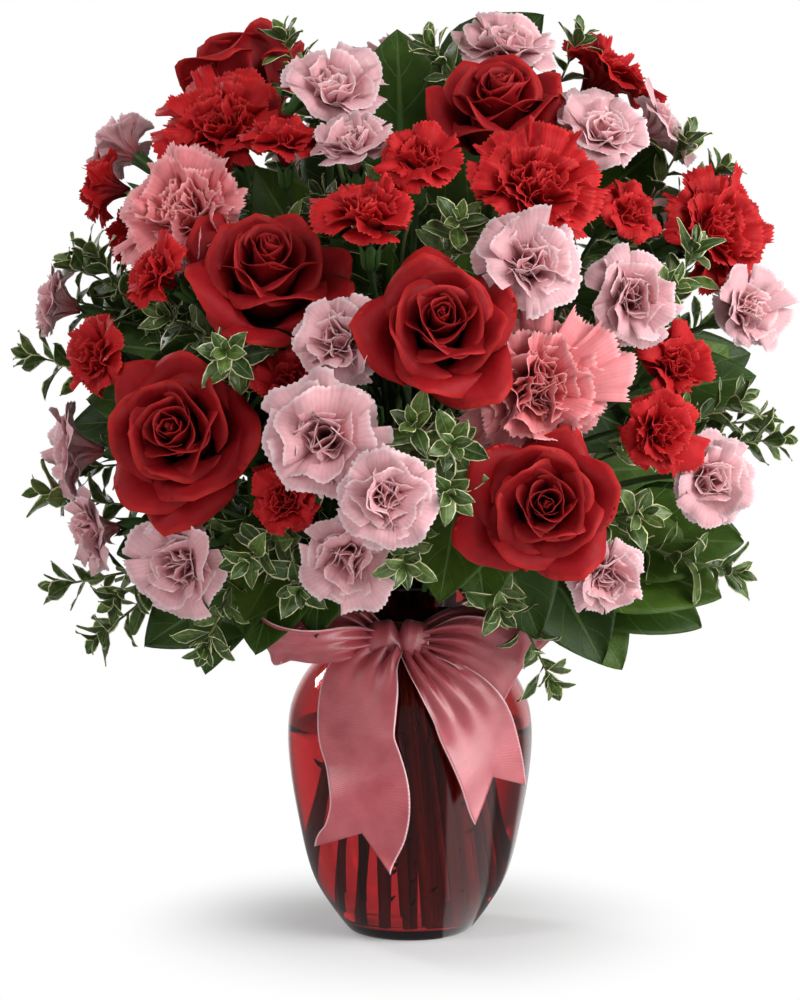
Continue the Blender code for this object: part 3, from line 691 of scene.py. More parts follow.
def ribbon_shape(stations, width_way, tip):
    """A ribbon along its stations, gathered in folds where it is narrower than its cloth.

    Its width lies along width_way, or level along the glass where that is None.
    """
    stations = np.array(stations, float)
    shares = np.linspace(0, 1, 161)
    steps = lengths_along(spline(stations, shares)[:, :3])
    length = steps[-1]

    def shape(u, v):
        t = np.interp(v * length, steps, shares)
        here = spline(stations, t)
        centre, half, roll = here[:, :3], here[:, 3:4], np.radians(here[:, 4:5])
        ahead, behind = (spline(stations, np.clip(t + step, 0, 1))[:, :3] for step in (0.01, -0.01))
        way = unit(ahead - behind)
        across = width_way
        if across is None:
            across = centre[:, (1, 0, 2)] * (-1, 0.85, 0)
        across = unit(across - way * np.sum(across * way, axis=1, keepdims=True))
        across, lift = rotated(across, np.cross(way, across), -roll)
        slack = np.clip(1 - half[:, 0] / (RIBBON_WIDTH / 2), 0, 1)
        pleat = FOLD_DEPTH * slack * np.sin(FOLDS * math.pi * u + 2.2 * t + 0.6)
        edge = 1.1 * (1 - slack) * u**2 * np.sin(7 * t + 1.5 * u)
        cut = tip * np.abs(u) * smooth(0.72, 1, v)
        return centre + across * half * u[:, None] + lift * (pleat + edge)[:, None] + way * cut[:, None]

    return shape, length


def make_cloth(name, node, shape, grid, length):
    piece = Piece()
    piece.shell(shape, (*grid, 1), RIBBON_THICKNESS, length * MM)
    return piece.build(name, RIBBON_FINISH, "ribbon", node)


def make_ribbon(name, node, stations, width_way, tip=0.0):
    """A loop, or a tail with a V cut this far into its end."""
    shape, length = ribbon_shape(stations, width_way, tip)
    obj = make_cloth(name, node, shape, (26, 64), length)


def knot(u, v):
    """The short turn of ribbon over the middle of the bow, gathered into two lobes."""
    angle = CIRCLE * v
    crease = 0.40 * np.exp(-((u - 0.10 - 0.06 * np.sin(angle)) / 0.12) ** 2)
    folds = 0.08 * np.sin(6.5 * u + 1.6 * np.sin(angle)) + 0.05 * np.sin(13 * u + 2 * np.sin(angle))
    size = 1.04 - 0.34 * np.abs(u) ** 2.4 - crease + folds
    width, depth, height = KNOT_HALF
    return KNOT_CENTRE + np.stack([width * u - 1.2 * np.sin(angle) * u, depth * size * np.cos(angle),
                                   -height * size * np.sin(angle)], axis=1)


def neck_band(u, v):
    """The ribbon round the neck, gathered to a third of its width in deep pleats."""
    angle = CIRCLE * v
    place = spline(BAND, (u + 1) / 2)
    pleat = BAND_PLEAT * np.sin(10 * math.pi * u + 1.5 * np.sin(angle))
    return polar(place[:, 1] + pleat, angle, place[:, 0])


def make_bow():
    make_ribbon("bow_left", "bow_loop_left", LOOP_LEFT, (0, 0, 1.0))
    make_ribbon("bow_right", "bow_loop_right", LOOP_RIGHT, (0.45, 0, 0.9))
    make_ribbon("tail_left", "ribbon_tail_left", TAIL_LEFT, None, TAIL_TIP)
    make_ribbon("tail_right", "ribbon_tail_right", TAIL_RIGHT, None, TAIL_TIP)
    for name, node, shape, columns, length in (("bow_wrap", "bow_knot", knot, 30, 56),
                                               ("ribbon_turn", "ribbon_band", neck_band, 60, 214)):
        obj = make_cloth(name, node, shape, (columns, 72), length)


# -------- stems

NECK_HEIGHT = 152.0  # where every stem passes the vase's neck
NECK_ROOM = 26.0  # how far from the middle of the neck they may be
STEM_TOP = 450.0  # the height at which a stem's stored value along is 1
SEPALS = 5


def foot_and_neck(name):
    """The middle of a stem at the glass floor and in the neck, read from its solid."""
    mesh = nodes[name].data
    points = np.array([vert.co for vert in mesh.vertices]) / MM
    foot = points[points[:, 2] < points[:, 2].min() + 1.5].mean(0)
    ends = points[np.array([edge.vertices for edge in mesh.edges])]
    low, high = ends[:, 0], ends[:, 1]
    rise = high[:, 2] - low[:, 2]
    share = (NECK_HEIGHT - low[:, 2]) / np.where(rise == 0, np.inf, rise)
    neck = (low + (high - low) * share[:, None])[(share > 0) & (share < 1)]
    return foot, neck[np.hypot(neck[:, 0], neck[:, 1]) < NECK_ROOM].mean(0)


def add_stem(piece, name, heads=()):
    """Adds a rounded copy of a stem's solid, without the flower heads that petals stand for."""
    mesh = bmesh.new()
    mesh.from_mesh(nodes[name].data)
    bmesh.ops.scale(mesh, vec=(1 / MM,) * 3, verts=mesh.verts)
    bmesh.ops.remove_doubles(mesh, verts=mesh.verts, dist=0.002)
    for centre, way, radius in heads:
        gone = []
        for vert in mesh.verts:
            offset = np.array(vert.co) - centre
            along = offset @ way
            if along > CALYX_TOP * radius + 1 and np.linalg.norm(offset - way * along) < 1.2 * radius:
                gone.append(vert)
        bmesh.ops.delete(mesh, geom=gone, context="VERTS")
    bmesh.ops.holes_fill(mesh, edges=mesh.edges)
    # Cuts across keep the straight part straight while its edges are rounded
    low = min(vert.co.z for vert in mesh.verts)
    for height in (low + 1.5, low + 6, *range(25, 150, 25)):
        geometry = mesh.verts[:] + mesh.edges[:] + mesh.faces[:]
        bmesh.ops.bisect_plane(mesh, geom=geometry, dist=0.001, plane_co=(0, 0, height), plane_no=(0, 0, 1))
    bmesh.ops.join_triangles(mesh, faces=mesh.faces, angle_face_threshold=0.8,
                             angle_shape_threshold=math.pi)
    bmesh.ops.recalc_face_normals(mesh, faces=mesh.faces)
    data = bpy.data.meshes.new(name)
    mesh.to_mesh(data)
    mesh.free()
    holder = add_object("holder", data)
    holder.modifiers.new("round", "SUBSURF").levels = 1
    rounded = holder.evaluated_get(bpy.context.evaluated_depsgraph_get()).data
    points = np.array([vert.co for vert in rounded.vertices])
    quads = np.array([tuple(polygon.vertices) for polygon in rounded.polygons])
    bpy.data.objects.remove(holder, do_unlink=True)
    values = np.stack([points[:, 2] / STEM_TOP, np.zeros(len(points)), np.zeros(len(points))], axis=1)
    piece.add(points, np.zeros((0, 3), int), quads, values)


def add_sepals(piece, centre, way, radius, line, half, spin):
    """Narrow green leaves round the base of a flower, along a (height, radius) line in flower radii."""
    local = axes(way, spin)
    for k in range(SEPALS):
        def shape(u, v, k=k):
            place = spline(line, v * (1 - 0.1 * np.abs(u)))
            angle = CIRCLE * k / SEPALS + half * u * np.clip(np.minimum(1, 2.6 * (1 - v)), 0.04, 1)
            return polar(place[:, 1] * (1 + 0.05 * (k % 2)), angle, place[:, 0]) * radius

        piece.shell(place_shape(shape, centre, local), (2, 6, 1), 0.6, 0.5)


def add_thorns(piece, foot, neck, random):
    """Small hooked thorns up the straight part of a rose stem."""
    way = unit(neck - foot)
    for along in np.arange(14, 140, 13.0):
        start = foot + way * (along + random.uniform(-4, 4))
        out = axes(way, random.uniform(0, CIRCLE))[0]
        line = [start + out * 1.6, start + out * 3.6 + way * 0.4, start + out * 5.6 + way * 2.0]
        piece.tube(line, [1.7, 0.9, 0.15], 6)


# -------- foliage

HEART = np.array([0, 0, 250.0])  # the middle of the bouquet
DOME = np.array([150.0, 140.0, 165.0])  # half sizes of the bouquet round its heart
FILL_LENGTH = 66.0  # of the broad leaves deep between the flowers
SALAL_OUTLINE = (0.78, 0.82)  # how near its base a leaf is widest, and how blunt it is
PITTOSPORUM_OUTLINE = (1.15, 0.80)
PITTOSPORUM_SIZE = (19.0, 9.0)
TWIG_REACH = 75.0
WHORL_LEAVES = 6  # close together at the tip of a twig


def leaf_shape(base, way, face, size, outline, fold, droop, wave, phase):
    """A leaf blade from base along way, with its upper side towards face."""
    length, width = size
    side = unit(np.cross(way, face))
    upper = np.cross(side, way)

    def shape(u, v):
        v = v - 0.09 * np.sin(CIRCLE * v)
        half = width / 2 * np.maximum(np.sin(math.pi * v**outline[0]), 0.0004)**outline[1]
        lift = fold * half * np.abs(u) ** 1.3 + wave * length * np.sin(7 * v + phase + 2 * u) * np.abs(u)
        fall = droop * length * v**2
        return (base + way * (length * (v - 0.25 * abs(droop) * v**2))[:, None] + side * (half * u)[:, None]
                + upper * (lift - fall)[:, None])

    return shape


def add_salal_leaf(leaves, twigs, tip, way, face, root, random, length, grid):
    """One broad leaf whose tip is given, on a short stalk from root."""
    way = unit(way)
    droop = random.uniform(0.05, 0.28)
    base = tip - way * length
    size = (length, length * random.uniform(0.60, 0.76))
    shape = leaf_shape(base, way, face, size, SALAL_OUTLINE, random.uniform(0.05, 0.35), droop, 0.018,
                       random.uniform(0, 6))
    leaves.shell(shape, grid, 0.5, random.random())
    stalk = [root, (root + base) / 2 + (0, 0, 5), base - way * 8, base + way * 2]
    twigs.tube(spline(stalk, np.linspace(0, 1, 9)), np.linspace(1.6, 0.7, 9), 6, 0.5)


def add_pittosporum_twig(leaves, twigs, tip, way, root, random):
    """A thin twig with small leaves by turns, closer together at its tip."""
    way = unit(way)
    start = tip - way * TWIG_REACH
    bend = tip - way * TWIG_REACH * 0.5 + random.normal(0, 3, 3)
    line = spline([root, (root + start) / 2 + (0, 0, 4), start, bend, tip], np.linspace(0, 1, 21))
    twigs.tube(line, np.linspace(1.5, 0.5, 21), 6, 1.0)
    steps = lengths_along(line)
    spin = random.uniform(0, CIRCLE)
    back, number = 0.0, 0
    while back < TWIG_REACH * 0.95:
        place, before = (np.array([np.interp(steps[-1] - gone, steps, line[:, k]) for k in range(3)])
                         for gone in (back, back + 2))
        along = unit(place - before)
        out = axes(along, spin + number * GOLDEN)[0]
        young = max(0.0, 1 - number / WHORL_LEAVES)
        leaf_way = unit(along + out * (1.15 - 0.85 * young) * random.uniform(0.8, 1.2))
        grown = random.uniform(0.85, 1.15) * (1 - 0.45 * young)
        size = (PITTOSPORUM_SIZE[0] * grown, PITTOSPORUM_SIZE[1] * grown)
        shape = leaf_shape(place, leaf_way, along, size, PITTOSPORUM_OUTLINE, random.uniform(0.1, 0.5),
                           random.uniform(0, 0.4), 0.05, random.uniform(0, 6))
        leaves.shell(shape, (2, 7, 1), 0.35, random.random())
        back += 1.4 if number < WHORL_LEAVES else random.uniform(3.5, 5.5)
        number += 1


# The main twig of each sprig: x, y, z of its tip, with its turn and lift there
SPRIGS = {
    "salal_1": (-68, -42, 182, -60, -15), "salal_2": (84, -40, 182, 65, -15),
    "salal_3": (108, 22, 268, 95, 15), "salal_4": (-6, 18, 376, -20, 80),
    "salal_5": (20, -46, 194, 20, -20), "pittosporum_1": (-158, -2, 278, -90, 20),
    "pittosporum_2": (-52, -16, 420, -70, 65), "pittosporum_3": (-140, -22, 172, -80, -20),
    "pittosporum_4": (150, -10, 240, 90, -5), "pittosporum_5": (72, -48, 150, 55, -40),
}
# Broad leaves that show: x, y, z of the tip, turn and lift of the blade, and its length
SALAL_LEAVES = {
    "salal_1": [
        (-124, -70, 154, -62, -20, 72), (-99, -80, 142, -38, -48, 74), (-44, -75, 154, -8, -58, 68),
        (-75, -100, 170, -30, -30, 66), (-125, -60, 274, -70, 0, 62), (-92, -70, 306, -50, 30, 60),
        (-162, -5, 288, -90, 10, 64), (-120, 20, 160, -105, -30, 72), (-60, 90, 150, -150, -35, 72),
        (-158, 0, 262, -85, 10, 66), (-152, 10, 314, -80, 25, 62), (-72, -78, 147, -25, -50, 62),
        (-154, 5, 240, -88, -5, 62), (-142, -10, 186, -80, -12, 64), (-168, 12, 249, -90, 4, 70),
    ],
    "salal_2": [
        (93, -70, 146, 48, -42, 78), (145, -60, 172, 74, -14, 76), (60, -85, 160, 30, -40, 70),
        (120, -40, 160, 70, -35, 74), (124, 40, 165, 110, -25, 74), (60, 100, 152, 155, -35, 72),
        (138, -45, 157, 72, -16, 70), (158, -30, 200, 80, 5, 66), (102, -62, 141, 52, -40, 66),
    ],
    "salal_3": [
        (155, -50, 195, 78, 2, 70), (166, -10, 271, 88, 12, 70), (157, 0, 287, 95, 35, 66),
        (150, 60, 225, 115, 5, 70), (110, 110, 250, 140, 15, 70), (120, 90, 330, 130, 40, 66),
        (118, 0, 378, 50, 35, 64), (168, 8, 284, 90, 20, 64),
    ],
    "salal_4": [
        (-6, -5, 432, -8, 76, 92), (-26, 20, 426, -55, 62, 68), (14, 12, 422, 40, 58, 60),
        (62, 20, 442, 62, 42, 66), (-69, -30, 364, -40, 50, 62), (-40, 70, 405, 200, 60, 70),
        (20, 100, 395, 170, 55, 70),
        (-70, 105, 350, 215, 40, 68), (80, 80, 385, 140, 50, 66), (-110, 70, 375, 240, 45, 66),
    ],
    "salal_5": [
        (13, -125, 178, -14, -48, 66), (34, -112, 172, 15, -55, 60), (-24, -108, 174, -14, -45, 60),
        (0, 120, 170, 180, -20, 70), (-100, 105, 190, 215, -10, 70), (90, 120, 175, 145, -20, 66),
    ],
}
# Small-leaved twigs that show: x, y, z of the tip, with its turn and lift
PITTOSPORUM_TWIGS = {
    "pittosporum_1": [
        (-180, -10, 278, -95, 5), (-151, -10, 329, -80, 45), (-80, -127, 285, -10, 10),
        (-111, -80, 299, -40, 20), (-150, 70, 300, 240, 20), (-120, 110, 290, 220, 15),
        (-160, -12, 322, -80, 20), (-164, 5, 304, -85, 15),
    ],
    "pittosporum_2": [
        (-60, 10, 430, -60, 65), (9, -20, 424, -30, 55), (21, -112, 342, 10, 30), (-35, 130, 350, 190, 40),
        (-70, 90, 395, 210, 55), (10, 90, 420, 170, 60),
    ],
    "pittosporum_3": [
        (-164, -40, 172, -80, -10), (-144, -60, 151, -60, -40), (-173, -20, 214, -90, 5),
        (-92, -95, 152, -25, -50), (-71, -120, 193, -20, -15), (-49, -110, 179, -5, -35),
        (-120, 80, 180, 235, -15), (-152, -22, 226, -85, 0), (-136, -62, 168, -60, -25),
    ],
    "pittosporum_4": [
        (148, -70, 182, 60, -15), (103, -100, 212, 25, 5), (174, -20, 239, 88, 0), (153, -40, 259, 70, 20),
        (130, -60, 331, 40, 40), (119, -75, 313, 35, 20), (148, 0, 367, 75, 45), (130, -10, 381, 60, 60),
        (81, 20, 429, 40, 70), (150, 85, 290, 120, 15), (60, 130, 330, 160, 35), (168, -5, 247, 88, 5),
    ],
    "pittosporum_5": [
        (64, -75, 133, 40, -50), (40, -100, 169, 10, -30), (18, -150, 247, 5, 5), (1, -150, 255, -10, 10),
        (16, -155, 226, 10, -5), (-3, -140, 193, -5, -20), (20, 150, 250, 170, 5), (-60, 140, 290, 200, 20),
    ],
}
FILL_LEAVES = 70  # broad leaves deep between the flowers
FILL_TWIGS = 26
FORK = 17  # the point of a sprig's line, just above the neck, from which its twigs branch
FOLIAGE_SEED = 7


def sprig_line(name):
    """The line of a sprig's main stem, from the glass floor through the neck to its tip."""
    x, y, z, turn, lift = SPRIGS[name]
    tip, way = np.array([x, y, z], float), facing(turn, lift)
    foot, neck = foot_and_neck(name)
    reach = np.linalg.norm(tip - neck) * 0.3
    t = np.linspace(0, 1, 16)[:, None]
    near, far = neck + unit(neck - foot) * reach, tip - way * reach
    curve = neck * (1 - t)**3 + near * (3 * t * (1 - t)**2) + far * (3 * t * t * (1 - t)) + tip * t**3
    return np.concatenate([foot + (neck - foot) * np.linspace(0, 0.95, 12)[:, None], curve])


def blade_face(tip):
    """Which way a leaf near this place shows its upper side: outwards and a little up."""
    out = np.array([tip[0] / 150, 0, 0]) * 0.35
    return out + (0, -0.9 if tip[1] < 30 else 0.9, 0.45)


def fill_place(random, low, high):
    """A place deep between the flowers but in none, with the way out from there."""
    while True:
        way = unit(random.normal(0, 1, 3))
        if way[2] < -0.55:
            continue
        place = HEART + way * DOME * random.uniform(low, high)
        if place[2] > 165 and np.all(np.linalg.norm(MIDDLES - place, axis=1) >= RADII * 0.95):
            return place, way


def make_foliage():
    random = np.random.default_rng(FOLIAGE_SEED)
    leaves = {name: Piece() for name in SPRIGS}
    twigs = {name: Piece() for name in SPRIGS}
    lines = {name: sprig_line(name) for name in SPRIGS}
    broad = [name for name in SPRIGS if "salal" in name]
    small = [name for name in SPRIGS if "salal" not in name]

    def nearest(names, place):
        return min(names, key=lambda name: np.linalg.norm(lines[name][-1] - place))

    for name, line in lines.items():
        twigs[name].tube(line, np.linspace(1.6, 1.0, len(line)), 8, 1.0 if name in small else 0.5)
    for name, rows in SALAL_LEAVES.items():
        for x, y, z, turn, lift, length in rows:
            tip = np.array([x, y, z], float)
            root = lines[name][FORK + 1] * 0.6 + (tip * (0.45, 0.45, 0.9)) * 0.4
            add_salal_leaf(leaves[name], twigs[name], tip, facing(turn, lift), blade_face(tip), root,
                           random, length, (10, 14, 1))
    for name, rows in PITTOSPORUM_TWIGS.items():
        for x, y, z, turn, lift in rows:
            tip = np.array([x, y, z], float)
            way = facing(turn, lift)
            add_pittosporum_twig(leaves[name], twigs[name], tip, way, lines[name][FORK], random)
    for _ in range(FILL_LEAVES):
        place, way = fill_place(random, 0.45, 0.84)
        name = nearest(broad, place)
        way = unit(way + random.normal(0, 0.35, 3) + (0, 0, 0.15))
        face = unit(way + random.normal(0, 0.6, 3) + (0, 0, 0.6))
        add_salal_leaf(leaves[name], twigs[name], place, way, face, lines[name][FORK], random,
                       FILL_LENGTH * random.uniform(0.85, 1.1), (6, 8, 1))
    for _ in range(FILL_TWIGS):
        place, way = fill_place(random, 0.72, 0.95)
        name = nearest(small, place)
        way = unit(way + random.normal(0, 0.3, 3))
        add_pittosporum_twig(leaves[name], twigs[name], place, way, lines[name][FORK], random)
    for names, finish, slot in ((broad, SALAL_FINISH, "salal_leaf"),
                                (small, PITTOSPORUM_FINISH, "pittosporum_leaf")):
        for name in names:
            leaves[name].build(name + "_leaves", finish, slot, name)
            twigs[name].build(name + "_twigs", STEM_FINISH, "stem", name)


# -------- finishes of glass, cloth and leaves


def glass_finish(name, colour, ior):
    """Clear, and so slightly uneven that what is behind it wavers."""
    finish = Finish(name, Base_Color=(*colour, 1), Transmission_Weight=1.0, IOR=ior, Roughness=0.0,
                    Specular_IOR_Level=0.4)
    bump = add_node(finish.tree, "Bump", Height=finish.noise(28, 2), Strength=0.05, Distance=0.002)
    put(finish.tree, bump.outputs["Normal"], finish.shader.inputs["Normal"])
    return finish.material


def ruby_finish():
    """Glass that is deeper red where light runs further through its wall."""
    material = glass_finish("ruby glass", (0.71, 0.25, 0.27), 1.5)
    tree = material.node_tree
    depth = add_node(tree, "VolumeAbsorption", Color=(0.87, 0.2, 0.24, 1), Density=250.0)
    put(tree, depth.outputs["Volume"], tree.nodes["Material Output"].inputs["Volume"])
    return material


def ribbon_finish():
    """Fine ribs across the ribbon, with a stitched edge along both sides."""
    finish = Finish("grosgrain ribbon", Sheen_Weight=0.25, Sheen_Roughness=0.4,
                    Sheen_Tint=(1, 0.78, 0.86, 1), Specular_IOR_Level=1.0, IOR=1.65, Coat_Weight=0.3,
                    Coat_Roughness=0.35)
    along, across, length = finish.stored()
    run = finish.times(along, length)
    ribs = finish.scaled(finish.math("SINE", finish.times(run, CIRCLE / RIB_PITCH)), 0.5, 0.5)
    selvage = finish.ramp(finish.math("ABSOLUTE", across), (0.955, 0.0), (0.975, 1.0))
    cloud = finish.noise(90, 3)
    colour = finish.ramp(cloud, (0.3, (0.45, 0.045, 0.064)), (0.7, (0.60, 0.092, 0.120)))
    grain = finish.scaled(finish.noise(2400, 1), 0.24, 0.79)
    colour = finish.shaded(colour, finish.scaled(ribs, 0.09, grain))
    stitches = finish.times(selvage, finish.scaled(ribs, 0.3, 0.6))
    colour = finish.mix(stitches, colour, (0.92, 0.62, 0.64))
    height = finish.scaled(selvage, 0.8, ribs)
    return finish.finish(colour, cloud, 0.34, 0.44, height, 0.25, 0.00025)


def salal_finish():
    """Deep green with a pale midrib, slanting side veins and a fine net between them."""
    finish = Finish("salal leaf", Specular_IOR_Level=0.25, Coat_Weight=0.03, Coat_Roughness=0.3)
    along, across, tone = finish.stored()
    side = finish.math("ABSOLUTE", across)
    midrib = finish.ramp(side, (0.0, 1.0), (0.03, 0.8), (0.055, 0.0))
    slant = finish.scaled(side, -0.22, along)
    laterals = finish.ramp(finish.math("FRACT", finish.times(slant, 7.5)), (0.0, 1.0), (0.05, 0.0),
                           (0.95, 0.0), (1.0, 1.0))
    veins = finish.math("MAXIMUM", midrib, finish.times(laterals, 0.6))
    cloud, net = finish.noise(120, 5), finish.noise(900, 3)
    leaf = finish.ramp(finish.scaled(tone, 0.6, finish.times(cloud, 0.5)), (0.15, (0.012, 0.030, 0.003)),
                       (0.6, (0.032, 0.076, 0.006)), (0.95, (0.080, 0.150, 0.014)))
    colour = finish.mix(finish.times(veins, 0.45), leaf, (0.16, 0.27, 0.08))
    height = finish.scaled(veins, -1.0, finish.scaled(net, 0.5, cloud))
    return finish.finish(colour, net, 0.40, 0.55, height, 0.5, 0.0008)


def pittosporum_finish():
    """Marbled green with a crisp cream margin and a pale midrib."""
    finish = Finish("pittosporum leaf", Specular_IOR_Level=0.5, Coat_Weight=0.1, Coat_Roughness=0.25)
    along, across, tone = finish.stored()
    side = finish.math("ABSOLUTE", across)
    cloud = finish.noise(420, 3)
    end = finish.ramp(along, (0.94, 0.0), (0.98, 1.0))
    rim = finish.math("MAXIMUM", finish.scaled(cloud, 0.20, side), end)
    margin = finish.ramp(rim, (0.95, 0.0), (0.99, 1.0))
    midrib = finish.ramp(side, (0.0, 0.6), (0.05, 0.4), (0.09, 0.0))
    marbled = finish.ramp(finish.scaled(tone, 0.4, finish.times(cloud, 0.8)), (0.2, (0.018, 0.042, 0.008)),
                          (0.55, (0.050, 0.105, 0.018)), (0.9, (0.15, 0.23, 0.045)))
    colour = finish.mix(margin, marbled, (0.74, 0.72, 0.40))
    colour = finish.mix(midrib, colour, (0.30, 0.36, 0.13))
    height = finish.scaled(midrib, -1.0, cloud)
    return finish.finish(colour, cloud, 0.32, 0.46, height, 0.4, 0.0005)


def stem_finish():
    """Stems: grey green, and inside the vase a pale tan that is partly their own paler colour under water
    and partly painted light; the woody twigs of tone 1 paler and the sepals of tone 0.5 fresher.
    """
    finish = Finish("green stem", Specular_IOR_Level=0.4)
    along, _, tone = finish.stored()
    streak, spots = finish.noise(300, 4, (1, 1, 0.08)), finish.noise(700, 2)
    # Below the neck the stems are pale tan: partly their own paler colour in the water, partly painted
    # light that stands in for the light the red glass keeps from them
    stem = finish.ramp(along, (0.30, (0.58, 0.50, 0.28)), (0.36, (0.045, 0.085, 0.022)))
    twig = finish.ramp(tone, (0.0, 0.0), (0.5, (0.07, 0.16, 0.035)), (1.0, (0.20, 0.25, 0.09)))
    colour = finish.mix(finish.ramp(tone, (0.0, 0.0), (0.4, 1.0)), stem, twig)
    colour = finish.shaded(colour, finish.scaled(streak, 0.7, 0.45))
    return finish.finish(colour, streak, 0.45, 0.65, finish.math("ADD", streak, spots), 0.3, 0.0005)


GLASS_FINISH = ruby_finish()
WATER_FINISH = glass_finish("water", (0.93, 0.95, 0.93), 1.33)
RIBBON_FINISH = ribbon_finish()
SALAL_FINISH = salal_finish()
PITTOSPORUM_FINISH = pittosporum_finish()
STEM_FINISH = stem_finish()


# -------- the bouquet

# Outer line of the green parts under a flower, as (height, radius) in flower radii
ROSE_SEPALS = [(-1.02, 0.14), (-0.97, 0.34), (-0.86, 0.52), (-0.84, 0.66), (-0.92, 0.80)]
CARNATION_SEPALS = [(-1.29, 0.075), (-1.18, 0.165), (-0.80, 0.195), (-0.56, 0.225), (-0.44, 0.27)]
HALF_OPEN = {"rose_1": 0.86, "rose_2": 0.86}  # how open the roses are that aren't fully so
# The random draws of each flower start from its number added to one of these
ROSE_SEED, CARNATION_SEED, SPRAY_SEED, ROSE_STEM_SEED = 100, 200, 300, 400


def make_carnations(name, rows, seed, look, finish, slot, bloom, stalk, is_spray):
    """The flowers of one stem. A spray's solid holds its flower heads, which are taken off its stem."""
    random = np.random.default_rng(seed)
    petals, stem = Piece(), Piece()
    for row in rows:
        add_carnation(petals, row, look, random)
        add_sepals(stem, *middle_of(row), CARNATION_SEPALS, 0.70, random.uniform(0, 6))
    petals.build(name + "_petals", finish, slot, bloom)
    add_stem(stem, stalk, [middle_of(row) for row in rows] if is_spray else ())
    stem.build(name + "_green", STEM_FINISH, "stem", stalk)


def make_flowers():
    for number, (name, row) in enumerate(ROSES.items()):
        make_rose(name, row, ROSE_SEED + number, HALF_OPEN.get(name, 1.0))
        random = np.random.default_rng(ROSE_STEM_SEED + number)
        stem = Piece()
        add_stem(stem, name + "_stem")
        add_sepals(stem, *middle_of(row), ROSE_SEPALS, 0.42, random.uniform(0, 6))
        add_thorns(stem, *foot_and_neck(name + "_stem"), random)
        stem.build(name + "_green", STEM_FINISH, "stem", name + "_stem")
    for number, (name, row) in enumerate(CARNATIONS.items()):
        finish, slot = ((RED_FINISH, "red_carnation_petals") if "red" in name
                        else (PINK_FINISH, "pink_carnation_petals"))
        make_carnations(name, [row], CARNATION_SEED + number, LARGE, finish, slot, name + "_bloom",
                        name + "_stem", False)
    for number, (name, rows) in enumerate(SPRAYS.items()):
        look, finish, slot = ((RED_SPRAY, RED_FINISH, "red_spray") if "red" in name
                              else (PINK_SPRAY, SPRAY_PINK_FINISH, "pink_spray"))
        make_carnations(name, rows, SPRAY_SEED + number, look, finish, slot, name, name, True)


make_vase()
make_bow()
make_flowers()
make_foliage()


# -------- stage, light and camera

# The stage is in metres
FLOOR_HALF = 3.0
SHADE_NEAR, SHADE_FAR = 0.045, 0.15  # from the vase's axis, between which the floor turns plain white
WORLD_LIGHT = 0.22
MIRROR_FRONT = 0.22  # how bright the room in front of the vase looks in its glass
LAMP_AIM = (0, 0, 0.26)
# Soft boxes: place, width and height, and power
LAMPS = {
    "key": ((0.75, -1.0, 1.35), (0.7, 0.7), 8),
    "side": ((1.3, -0.7, 0.6), (1.5, 1.5), 26),
    "left": ((-1.1, -0.9, 1.0), (0.4, 0.65), 6.5),
    "back": ((-1.2, 0.95, 0.98), (0.35, 0.6), 8),
}
CAMERA_PLACE = (-0.0048, -1.35, 0.338)
CAMERA_LENS = 101.7
AIM_HEIGHT = 0.2083  # where the camera's middle line meets the vase's axis


def ramp_between(tree, value, low, high, least=0.0):
    """A soft rise from least to 1 while value goes from low to high."""
    node = add_node(tree, "MapRange", Value=value, From_Min=low, From_Max=high, To_Min=least)
    node.interpolation_type = "SMOOTHSTEP"
    return node.outputs["Result"]


def seen_white(tree, way):
    """Where the backdrop shows itself as white, and how strongly, in this way from the vase.

    That is seen straight, through the glass and mirrored. Mirrored, the room is dim but for what is
    behind the vase and a white panel at its right.
    """
    path = add_node(tree, "LightPath").outputs
    direct = calculate(tree, "MAXIMUM", path["Is Camera Ray"], path["Is Transmission Ray"])
    mirrored = path["Is Glossy Ray"]
    x, y, _ = add_node(tree, "SeparateXYZ", Vector=way).outputs
    behind = ramp_between(tree, y, 0.8, 1.0, MIRROR_FRONT)
    right = calculate(tree, "MULTIPLY", ramp_between(tree, x, 0.3, 0.5), ramp_between(tree, y, 0.5, 0.75))
    front = ramp_between(tree, calculate(tree, "MULTIPLY", y, -1.0), 0.05, 0.2)
    panel = calculate(tree, "MULTIPLY", ramp_between(tree, x, 0.50, 0.56), front)
    bright = calculate(tree, "MAXIMUM", behind, calculate(tree, "MAXIMUM", panel, right))
    return direct, mirrored, calculate(tree, "MAXIMUM", calculate(tree, "SUBTRACT", 1.0, mirrored), bright)


def mix_shaders(tree, share, first, second, output):
    mix = tree.nodes.new("ShaderNodeMixShader")
    for socket, source in zip(mix.inputs, (share, first, second)):
        tree.links.new(source, socket)
    tree.links.new(mix.outputs["Shader"], tree.nodes[output].inputs["Surface"])


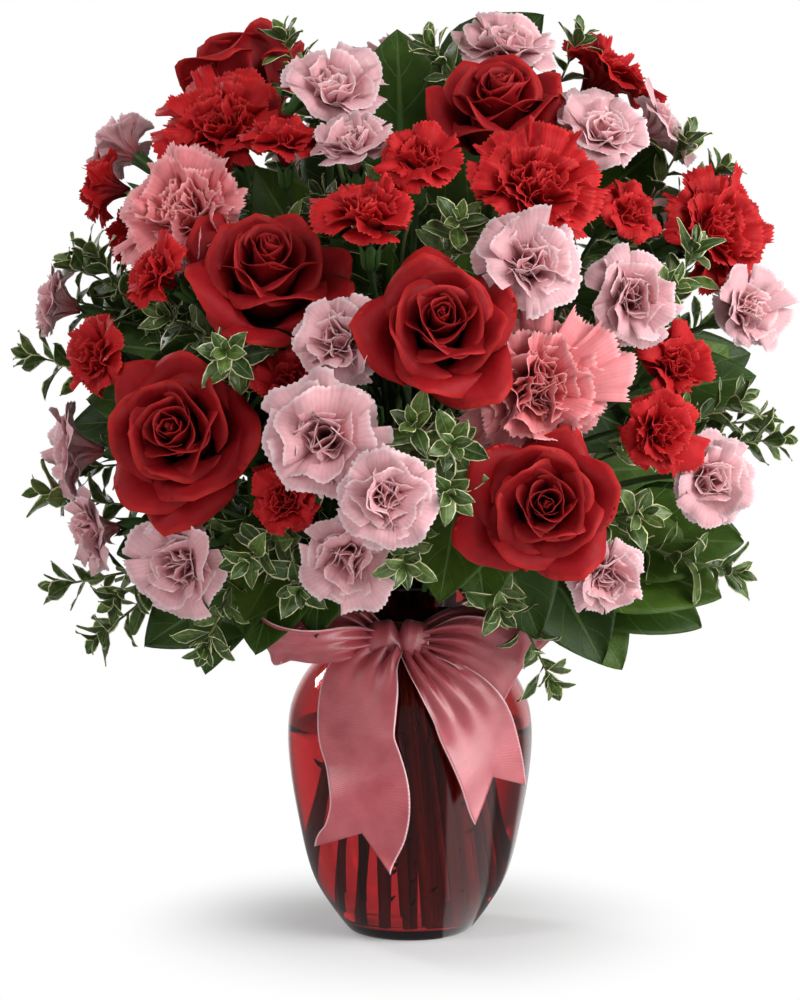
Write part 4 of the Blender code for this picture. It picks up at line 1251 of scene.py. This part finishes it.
def make_world():
    """White where it is seen and dimmer as light."""
    world = bpy.data.worlds.new("studio")
    bpy.context.scene.world = world
    world.use_nodes = True
    tree = world.node_tree
    direct, mirrored, strength = seen_white(tree, add_node(tree, "TexCoord").outputs["Generated"])
    dim, white = (add_node(tree, "Background", Color=(1, 1, 1, 1), Strength=level).outputs["Background"]
                  for level in (WORLD_LIGHT, strength))
    mix_shaders(tree, calculate(tree, "MAXIMUM", direct, mirrored), dim, white, "World Output")


def make_floor():
    """A pale floor that holds the vase's shadow and is plain white further out."""
    mesh = bpy.data.meshes.new("floor")
    half = FLOOR_HALF
    mesh.from_pydata([(-half, -half, 0), (half, -half, 0), (half, half, 0), (-half, half, 0)], [],
                     [(0, 1, 2, 3)])
    finish = Finish("white floor", Base_Color=(0.9, 0.9, 0.9, 1), Roughness=0.9, Specular_IOR_Level=0.1)
    mesh.materials.append(finish.material)
    tree = finish.tree
    away, way = (tree.nodes.new("ShaderNodeVectorMath") for _ in range(2))
    for node, operation in ((away, "LENGTH"), (way, "NORMALIZE")):
        node.operation = operation
        tree.links.new(finish.place(), node.inputs[0])
    far = ramp_between(tree, away.outputs["Value"], SHADE_NEAR, SHADE_FAR, 0.12)
    direct, mirrored, strength = seen_white(tree, way.outputs["Vector"])
    white = add_node(tree, "Emission", Strength=strength).outputs["Emission"]
    share = calculate(tree, "MAXIMUM", calculate(tree, "MULTIPLY", direct, far), mirrored)
    mix_shaders(tree, share, finish.shader.outputs["BSDF"], white, "Material Output")
    add_object("floor", mesh)


def make_lamp(name, place, size, power):
    """A soft box that faces the middle of the bouquet."""
    lamp = bpy.data.lights.new(name, "AREA")
    lamp.shape = "RECTANGLE"
    lamp.size, lamp.size_y = size
    lamp.energy = power
    obj = add_object(name, lamp)
    obj.location = place
    obj.rotation_euler = (Vector(LAMP_AIM) - Vector(place)).to_track_quat("-Z", "Y").to_euler()


def make_camera():
    camera = bpy.data.cameras.new("camera")
    camera.lens = CAMERA_LENS
    obj = add_object("camera", camera)
    obj.location = CAMERA_PLACE
    down = math.atan((CAMERA_PLACE[2] - AIM_HEIGHT) / -CAMERA_PLACE[1])
    obj.rotation_euler = (math.pi / 2 - down, 0, 0)
    bpy.context.scene.camera = obj


make_world()
make_floor()
for lamp_name, settings in LAMPS.items():
    make_lamp(lamp_name, *settings)
make_camera()
bpy.context.scene.view_settings.view_transform = "Standard"
